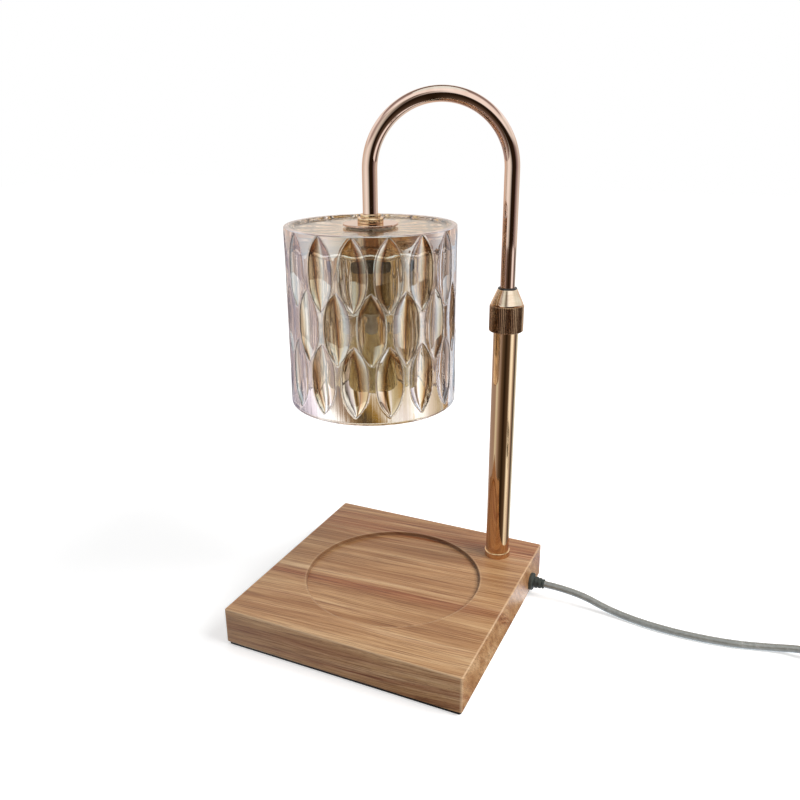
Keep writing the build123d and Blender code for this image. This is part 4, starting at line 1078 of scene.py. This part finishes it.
def makeGrommet():
    low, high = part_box("cord_grommet")
    start, face, tip = low.x / mm, boardSpot["radius"] + boardSpot["x"], high.x / mm
    flange = face + gland["flangeThick"]
    outline = [(gland["wireBore"], start), (gland["barrel"], start), (gland["barrel"], face),
               (gland["flange"], face), (gland["flange"], flange),
               (gland["nose"], flange)]
    run = tip - flange
    for k in range(gland["grooves"]):
        # relief slots between ribs
        for share, deep in ((0.2, 0), (0.28, 0.6), (0.5, 0.6), (0.58, 0)):
            along = (k + share) / gland["grooves"]
            outline.append((gland["nose"] + (gland["tip"] - gland["nose"]) * along - deep,
                            flange + run * along))
    outline += [(gland["tip"], tip), (gland["leadBore"], tip)]
    bm = turned(outline, 64, [(0.7, (4,)), (0.25, (3, len(outline) - 2))], 4)
    laid(bm, "Y")
    middle = (low.y + high.y) / 2 / mm
    makePiece(moved(bm, 0, middle, gland["height"]), "leadGrommet", [rubber], "base",
              ["cord_grommet"])


makeGrommet()
print("grommet made")

# Wire in the pole, which gathers up between its foot and the tube as the tube sinks


def makeSlackWire():
    bm = bmesh.new()
    bm.from_mesh(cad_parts["slack_wire"].data)
    made = makePiece(bm, "slackWire", [wireCore], None, ["slack_wire"])
    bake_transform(made)


makeSlackWire()
print("slack wire made")

# Dimmer housing on the lead

dimmer = {
    "wall": 1.6, "cornerRadius": 12.0, "edge": 2.4, "foot": 1.0, "slotHalf": 8.4, "slotSide": 3.4,
    "groove": 0.35, "leadHole": 2.42,
}


def slabOutline(bm, halfX, halfY, radius, z):
    grid = bmesh.ops.create_grid(bm, x_segments=1, y_segments=1, size=1.0)
    bmesh.ops.scale(bm, vec=(halfX * mm, halfY * mm, 1), verts=grid["verts"])
    bmesh.ops.translate(bm, vec=(0, 0, z * mm), verts=grid["verts"])
    bevelled(bm, grid["verts"], radius, 12, "VERTICES")


def shellHalf(low, high, outward, edge):
    # one half of the housing: a rounded slab, hollow towards the split, its closed end rounded
    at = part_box("dimmer_top")
    halfX, halfY = (at[1].x - at[0].x) / 2 / mm, (at[1].y - at[0].y) / 2 / mm
    bm = bmesh.new()
    openAt, closedAt = (low, high) if outward > 0 else (high, low)
    slabOutline(bm, halfX, halfY, dimmer["cornerRadius"], openAt)
    raised(bm, bm.faces[:], (high - low) * outward)
    flat = [f for f in bm.faces if abs(f.normal.z) > 0.9]
    opened = min(flat, key=lambda f: f.calc_center_median().z * outward)
    bmesh.ops.recalc_face_normals(bm, faces=bm.faces)
    bmesh.ops.inset_region(bm, faces=[opened], thickness=dimmer["wall"] * mm, depth=0.0, use_even_offset=True)
    flat = [f for f in bm.faces if abs(f.normal.z) > 0.9 and len(f.verts) > 8]
    opened = min(flat, key=lambda f: f.calc_area() + 1e3 * abs(f.calc_center_median().z - openAt * mm))
    raised(bm, [opened], (high - low - dimmer["wall"]) * outward)
    rim = [e for e in bm.edges if all(abs(v.co.z - closedAt * mm) < 1e-7 for v in e.verts)]
    bevelled(bm, rim, edge, 6)
    lip = [e for e in bm.edges if all(abs(v.co.z - openAt * mm) < 1e-7 for v in e.verts)
           and e.calc_face_angle(0) > 0.5]
    bevelled(bm, lip, dimmer["groove"], 2)
    centre = ((at[0].x + at[1].x) / 2 / mm, (at[0].y + at[1].y) / 2 / mm)
    return moved(bm, *centre)


def cutter(name, bm):
    # a solid that is only there for a Boolean cut, and goes once the cut is applied
    bmesh.ops.recalc_face_normals(bm, faces=bm.faces)
    return placed(name, meshOf(name, bm))


def cutBy(piece, tool):
    cut = piece.modifiers.new("cut", "BOOLEAN")
    cut.operation = "DIFFERENCE"
    cut.solver = "EXACT"
    cut.object = tool
    while piece.modifiers[0] != cut:
        bpy.context.view_layer.objects.active = piece
        bpy.ops.object.modifier_move_up(modifier=cut.name)
    bpy.context.view_layer.objects.active = piece
    bpy.ops.object.modifier_apply(modifier=cut.name)
    mesh = tool.data
    bpy.data.objects.remove(tool)
    bpy.data.meshes.remove(mesh)


def rod(radius, start, end, direction, around=32):
    # a round rod from a start point along an axis, in mm
    bm = bmesh.new()
    length = (Vector(end) - Vector(start)).length
    bmesh.ops.create_cone(bm, cap_ends=True, segments=around, radius1=radius * mm, radius2=radius * mm,
                          depth=length * mm)
    turn = Vector((0, 0, 1)).rotation_difference(Vector(direction)).to_matrix()
    bmesh.ops.rotate(bm, cent=(0, 0, 0), matrix=turn, verts=bm.verts)
    middle = (Vector(start) + Vector(end)) / 2
    return moved(bm, *middle)


def makeDimmer():
    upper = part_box("dimmer_top")
    split = upper[0].z / mm
    bottomPiece = makePiece(shellHalf(0, split, -1, dimmer["foot"]), "dimmerBottom", [absShell], "base",
                            ["dimmer_bottom"])
    topPiece = makePiece(shellHalf(split, upper[1].z / mm, 1, dimmer["edge"]), "dimmerTop", [absShell],
                         "base", ["dimmer_top"])
    west, east = upper[0].x / mm, upper[1].x / mm
    middleY = (upper[0].y + upper[1].y) / 2 / mm
    middleX = (west + east) / 2
    for piece in (bottomPiece, topPiece):
        cutBy(piece, cutter("leadWay", rod(dimmer["leadHole"], (west - 2, middleY, split), (east + 2, middleY,
            split), (1, 0, 0))))
    slot = bmesh.new()
    slabOutline(slot, dimmer["slotHalf"], dimmer["slotSide"], 1.0, split + 4)
    raised(slot, slot.faces[:], 20)
    cutBy(topPiece, cutter("wheelWay", moved(slot, middleX, middleY)))
    return [bottomPiece, topPiece]


wheel = {"notches": 24, "notchDepth": 0.5, "edge": 0.5, "axle": 1.5, "half": 3.0, "notchHalf": 0.28}


def makeWheel():
    low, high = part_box("dimmer_wheel")
    hub = ((low.x + high.x) / 2 / mm, (low.y + high.y) / 2 / mm, (low.z + high.z) / 2 / mm)
    radius, reach = (high.x - low.x) / 2 / mm, (high.y - low.y) / 2 / mm
    half = wheel["half"]
    outline = [(0, -reach), (wheel["axle"], -reach), (wheel["axle"], -half), (radius - 2, -half),
               (radius - 1.6, -half + 0.4),
               (radius - 1.2, -half), (radius, -half), (radius, half), (radius - 1.2, half),
               (radius - 1.6, half - 0.4),
               (radius - 2, half), (wheel["axle"], half), (wheel["axle"], reach), (0, reach)]
    bm = turned(outline, wheel["notches"] * 10, [(wheel["edge"], (6, 7))], 3, closed=False)
    grooved(bm, wheel["notches"], wheel["notchDepth"], wheel["notchHalf"],
            lambda across, height: across > radius - 0.7)
    laid(bm, "X")
    return makePiece(moved(bm, *hub), "dimmerWheel", [blackPlastic], "dimmer_wheel",
                     ["dimmer_wheel"], 30)


dimmerPieces = makeDimmer()
wheelPiece = makeWheel()
print("dimmer made")

# Plug with two round pins

plug = {"nose": 4.2, "neckHalf": 7.5, "shoulder": 12.0, "halfWidth": 17.5, "noseLength": 10.0, "edge": 2.4,
        "bore": 2.45, "tip": 3.0,
        "pinRadius": 2.0, "pinPitch": 18.6, "pinEnd": 1.3, "pinRoot": 5.9}


def makePlug():
    low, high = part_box("plug_body")
    back = high.y / mm - plug["noseLength"]
    front = low.y / mm
    thick = (high.z - low.z) / mm
    bm = bmesh.new()
    places = [(-plug["neckHalf"], back), (plug["neckHalf"], back),
              (plug["halfWidth"], back - plug["shoulder"]),
              (plug["halfWidth"], front), (-plug["halfWidth"], front),
              (-plug["halfWidth"], back - plug["shoulder"])]
    verts = [bm.verts.new((x * mm, y * mm, low.z)) for x, y in places]
    bm.faces.new(verts)
    bevelled(bm, [verts[2], verts[5]], 5, 8, "VERTICES")
    bevelled(bm, [verts[0], verts[1], verts[3], verts[4]], 2, 6, "VERTICES")
    raised(bm, bm.faces[:], thick)
    rims = {e for f in bm.faces if abs(f.normal.z) > 0.9 for e in f.edges}
    bevelled(bm, rims, plug["edge"], 6)
    nose = [(plug["bore"], high.y / mm), (plug["tip"], high.y / mm)]
    for k in range(4):
        along = (k + 0.5) / 4
        size = plug["tip"] + (plug["nose"] - plug["tip"]) * along
        y = high.y / mm - plug["noseLength"] * along
        nose += [(size, y + 0.7), (size - 0.5, y + 0.4), (size - 0.5, y - 0.4), (size, y - 0.7)]
    nose += [(plug["nose"], back - 1), (plug["bore"], back - 1)]
    cone = turned([(radius, -y) for radius, y in nose], 64, [(0.2, (1,))], 3)
    laid(cone, "X")
    bmesh.ops.translate(cone, vec=(0, 0, coil["high"] * mm), verts=cone.verts)
    whole = joined([bm, cone])
    made = makePiece(moved(whole, plugX, 0), "plugBody", [absShell], "base", ["plug_body"])
    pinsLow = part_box("plug_pins")[0].y / mm
    parts = []
    for side in (-1, 1):
        root = -front - plug["pinRoot"]
        outline = [(0, root), (plug["pinRadius"], root), (plug["pinRadius"], -pinsLow), (0, -pinsLow)]
        pin = turned(outline, 48, [(plug["pinEnd"], (2,))], 6, closed=False)
        laid(pin, "X")
        parts.append(moved(pin, plugX + side * plug["pinPitch"] / 2, 0, coil["high"]))
    pins = makePiece(joined(parts), "plugPins", [nickel], "base", ["plug_pins"])
    return [made, pins]


plugPieces = makePlug()
print("plug made")

# CAD nodes that stay, each with its finish

for node, look in {
    "base_pad": foam, "pole_plug": zincSteel, "pole_nipple": zincSteel, "base_washer": zincSteel,
    "base_nut": zincSteel, "collet": nylon, "guide_bush": nylon, "lampholder_face": ceramic,
    "holder_contacts": nickel, "holder_screws": zincSteel, "bulb_pins": nickel, "tube_wire": wireCore,
    "base_wire": wireCore, "dimmer_screws": zincSteel, "dimmer_circuit": circuitBoard,
}.items():
    dress(node, look)
print("CAD nodes dressed")

# Floor, light and the surroundings that metal and glass show

studio = {
    "floorSize": 6.0,
    "worldDiffuse": 0.31,
    "nearLift": 0.5,
    "farLift": 0.76,
    "liftFrom": 0.25,
    "liftTo": 0.8,
    "roomRadius": 1.5,
    "roomHeight": 4.0,
    "seenThrough": 1.8,
    "mirrored": 2.0,
    "skyMirrored": 2.0,
    "sky": "#D2F0FF",
    "highFrom": (0.6, 0.8),
    "topFrom": (1.35, 1.55),
}
# Plain cards that stand round the lamp for metal to mirror
cards = {
    "white": "#E0F0FF",
    "pale": "#C0D0D8",
    "cream": "#B8B0A8",
    "grey": "#8C8890",
    "dim": "#504840",
    "dark": "#201810",
}
# Where the cards stand, by angle: 0 and 1 lie behind the lamp, 0.5 at the camera, less than 0.5 on its left.
# On the floor, beside the lamp, high up and above; the last row is what the glass shows through its wall
flags = {
    "low": [
        (0, "cream"), (0.1, "grey"), (0.26, "grey"), (0.3, "pale"), (0.36, "grey"), (0.42, "dim"),
        (0.5, "dark"), (0.6, "dim"), (0.64, "white"), (0.68, "white"), (0.72, "grey"), (0.78, "dark"),
        (0.86, "pale"), (1, "cream"),
    ],
    "level": [
        (0, "cream"), (0.15, "cream"), (0.25, "pale"), (0.34, "white"), (0.42, "pale"), (0.48, "dark"),
        (0.62, "dark"), (0.7, "grey"), (0.8, "pale"), (0.88, "cream"), (1, "cream"),
    ],
    "high": [
        (0, "cream"), (0.2, "white"), (0.3, "grey"), (0.4, "pale"), (0.46, "dim"), (0.52, "white"),
        (0.62, "white"), (0.7, "pale"), (0.84, "white"), (1, "cream"),
    ],
    "top": [(0, "dim"), (0.25, "grey"), (0.34, "white"), (0.66, "white"), (0.75, "grey"), (1, "dim")],
    "through": [
        (0.0, "#C2B08C"), (0.016, "#D2C4A8"), (0.027, "#ECE4E4"), (0.034, "#FFFFFF"), (0.041, "#A8823C"),
        (0.05, "#1E140A"), (0.06, "#8C6A34"), (0.066, "#FFFFFF"), (0.078, "#DED6E0"), (0.094, "#3C322A"),
        (0.104, "#FFFFFF"), (0.14, "#857A72"), (0.18, "#FFFFFF"), (0.3, "#9C8E84"), (0.4, "#FFFFFF"),
        (0.45, "#5A4A30"), (0.48, "#FFFFFF"), (0.51, "#3A3024"), (0.54, "#FFFFFF"), (0.58, "#5A4A30"),
        (0.62, "#FFFFFF"), (0.7, "#9C8E84"), (0.82, "#FFFFFF"), (0.86, "#857A72"), (0.896, "#FFFFFF"),
        (0.906, "#3C322A"), (0.922, "#DED6E0"), (0.934, "#FFFFFF"), (0.94, "#8C6A34"), (0.95, "#1E140A"),
        (0.959, "#A8823C"), (1.0, "#C2B08C"),
    ],
}


def rays(tree, *kinds):
    # 1 for rays of these kinds
    path = add(tree, "ShaderNodeLightPath")
    total = path.outputs[kinds[0]]
    for kind in kinds[1:]:
        total = add(tree, "ShaderNodeMath", {0: total, 1: path.outputs[kind]}, operation="MAXIMUM").outputs[0]
    return total


def flagColour(tree, *names):
    # the colours of one or more rows of flags, round the axis of the pole
    here = add(tree, "ShaderNodeTexCoord")
    centred = add(tree, "ShaderNodeVectorMath", {
        0: here.outputs["Object"], 1: (poleSpot["x"] * mm, poleSpot["y"] * mm, 0),
    }, operation="SUBTRACT")
    turnedPlace = add(tree, "ShaderNodeMapping", {
        "Vector": centred.outputs["Vector"], "Rotation": (0, 0, -camera["turnLeft"] + pi / 2),
    })
    gradient = add(tree, "ShaderNodeTexGradient", {"Vector": turnedPlace.outputs["Vector"]},
                   gradient_type="RADIAL")
    rows = [[(place, cards.get(card, card)) for place, card in flags[name]] for name in names]
    return [ramp(tree, gradient.outputs["Fac"], row) for row in rows]


def makeWorld():
    world = bpy.data.worlds.new("studio")
    bpy.context.scene.world = world
    world.use_nodes = True
    tree = world.node_tree
    tree.nodes.clear()
    seen = add(tree, "ShaderNodeMapRange", {
        "Value": rays(tree, "Is Camera Ray", "Is Transmission Ray"), "To Min": studio["worldDiffuse"],
        "To Max": 1.0,
    })
    strength = add(tree, "ShaderNodeMapRange", {
        "Value": rays(tree, "Is Glossy Ray"), "To Min": seen.outputs["Result"],
        "To Max": studio["skyMirrored"],
    })
    colour = blended(tree, rays(tree, "Is Glossy Ray"), "#FFFFFF", studio["sky"])
    light = add(tree, "ShaderNodeBackground", {"Color": colour, "Strength": strength.outputs["Result"]})
    add(tree, "ShaderNodeOutputWorld", {"Surface": light.outputs["Background"]})


def makeFloor():
    # white floor that keeps the shadow and grows brighter with distance; metal and glass see the flags in it
    bm = bmesh.new()
    bmesh.ops.create_grid(bm, x_segments=1, y_segments=1, size=studio["floorSize"] / 2)
    mesh = meshOf("floor", bm)
    made = placed("floor", mesh)
    material, tree = bareMaterial("whitePaintedFloor")
    place = add(tree, "ShaderNodeTexCoord")
    distance = add(tree, "ShaderNodeVectorMath", {0: place.outputs["Object"]}, operation="LENGTH")
    lift = add(tree, "ShaderNodeMapRange", {
        "Value": distance.outputs["Value"], "From Min": studio["liftFrom"], "From Max": studio["liftTo"],
        "To Min": studio["nearLift"], "To Max": studio["farLift"],
    })
    seenLift = add(tree, "ShaderNodeMath", {0: lift.outputs["Result"], 1: rays(tree, "Is Camera Ray")},
                   operation="MULTIPLY")
    paint = add(tree, "ShaderNodeBsdfDiffuse", {"Color": (0.86, 0.86, 0.86, 1)})
    glow = add(tree, "ShaderNodeEmission", {"Color": (1, 1, 1, 1), "Strength": seenLift.outputs[0]})
    plain = add(tree, "ShaderNodeAddShader", {0: paint.outputs[0], 1: glow.outputs[0]})
    mirrored = add(tree, "ShaderNodeEmission",
                   {"Color": flagColour(tree, "low")[0], "Strength": studio["mirrored"]})
    shown = add(tree, "ShaderNodeMixShader", {
        0: rays(tree, "Is Glossy Ray"), 1: plain.outputs[0], 2: mirrored.outputs[0],
    })
    room = add(tree, "ShaderNodeEmission",
               {"Color": flagColour(tree, "through")[0], "Strength": studio["seenThrough"]})
    both = add(tree, "ShaderNodeMixShader", {
        0: rays(tree, "Is Transmission Ray"), 1: shown.outputs[0], 2: room.outputs[0],
    })
    add(tree, "ShaderNodeOutputMaterial", {"Surface": both.outputs[0]})
    mesh.materials.append(material)


def makeRoom():
    # a ring of dark and light flags round the lamp, which only reflections and glass see
    bm = bmesh.new()
    bmesh.ops.create_cone(bm, cap_ends=False, segments=96, radius1=studio["roomRadius"],
                          radius2=studio["roomRadius"],
                          depth=studio["roomHeight"])
    moved(bm, poleSpot["x"], poleSpot["y"], (studio["roomHeight"] / 2 - 0.02) / mm)
    mesh = meshOf("flags", bm)
    made = placed("flags", mesh)
    material, tree = bareMaterial("studioFlags")
    place = add(tree, "ShaderNodeTexCoord")
    parts = add(tree, "ShaderNodeSeparateXYZ", {"Vector": place.outputs["Object"]})
    colour, high, top, through = flagColour(tree, "level", "high", "top", "through")
    for upper, (low, full) in ((high, studio["highFrom"]), (top, studio["topFrom"])):
        share = add(tree, "ShaderNodeMapRange",
                    {"Value": parts.outputs["Z"], "From Min": low, "From Max": full})
        colour = blended(tree, share.outputs["Result"], colour, upper)
    mirrored = add(tree, "ShaderNodeEmission", {"Color": colour, "Strength": studio["mirrored"]})
    behind = add(tree, "ShaderNodeEmission", {"Color": through, "Strength": studio["seenThrough"]})
    both = add(tree, "ShaderNodeMixShader", {
        0: rays(tree, "Is Transmission Ray"), 1: mirrored.outputs[0], 2: behind.outputs[0],
    })
    add(tree, "ShaderNodeOutputMaterial", {"Surface": both.outputs[0]})
    mesh.materials.append(material)
    made.visible_camera = False
    made.visible_diffuse = False
    made.visible_shadow = False


def areaLight(name, place, target, size, watts):
    data = bpy.data.lights.new(name, "AREA")
    data.shape = "RECTANGLE"
    data.size, data.size_y = size
    data.energy = watts
    made = placed(name, data)
    away = (Vector(place) - Vector(target)).normalized()
    made.matrix_world = Matrix.Translation(place) @ away.to_track_quat("Z", "Y").to_matrix().to_4x4()
    made.visible_glossy = False
    made.visible_transmission = False
    return made


makeWorld()
makeFloor()
makeRoom()
areaLight("keyLight", (0.75, 0.1, 0.8), (0, 0, 0.05), (0.7, 0.7), 11.5)
areaLight("fillLight", (-0.5, 0.5, 1.1), (0, 0, 0.1), (0.9, 0.9), 1.5)
bpy.context.scene.view_settings.view_transform = "Standard"
print("studio set")
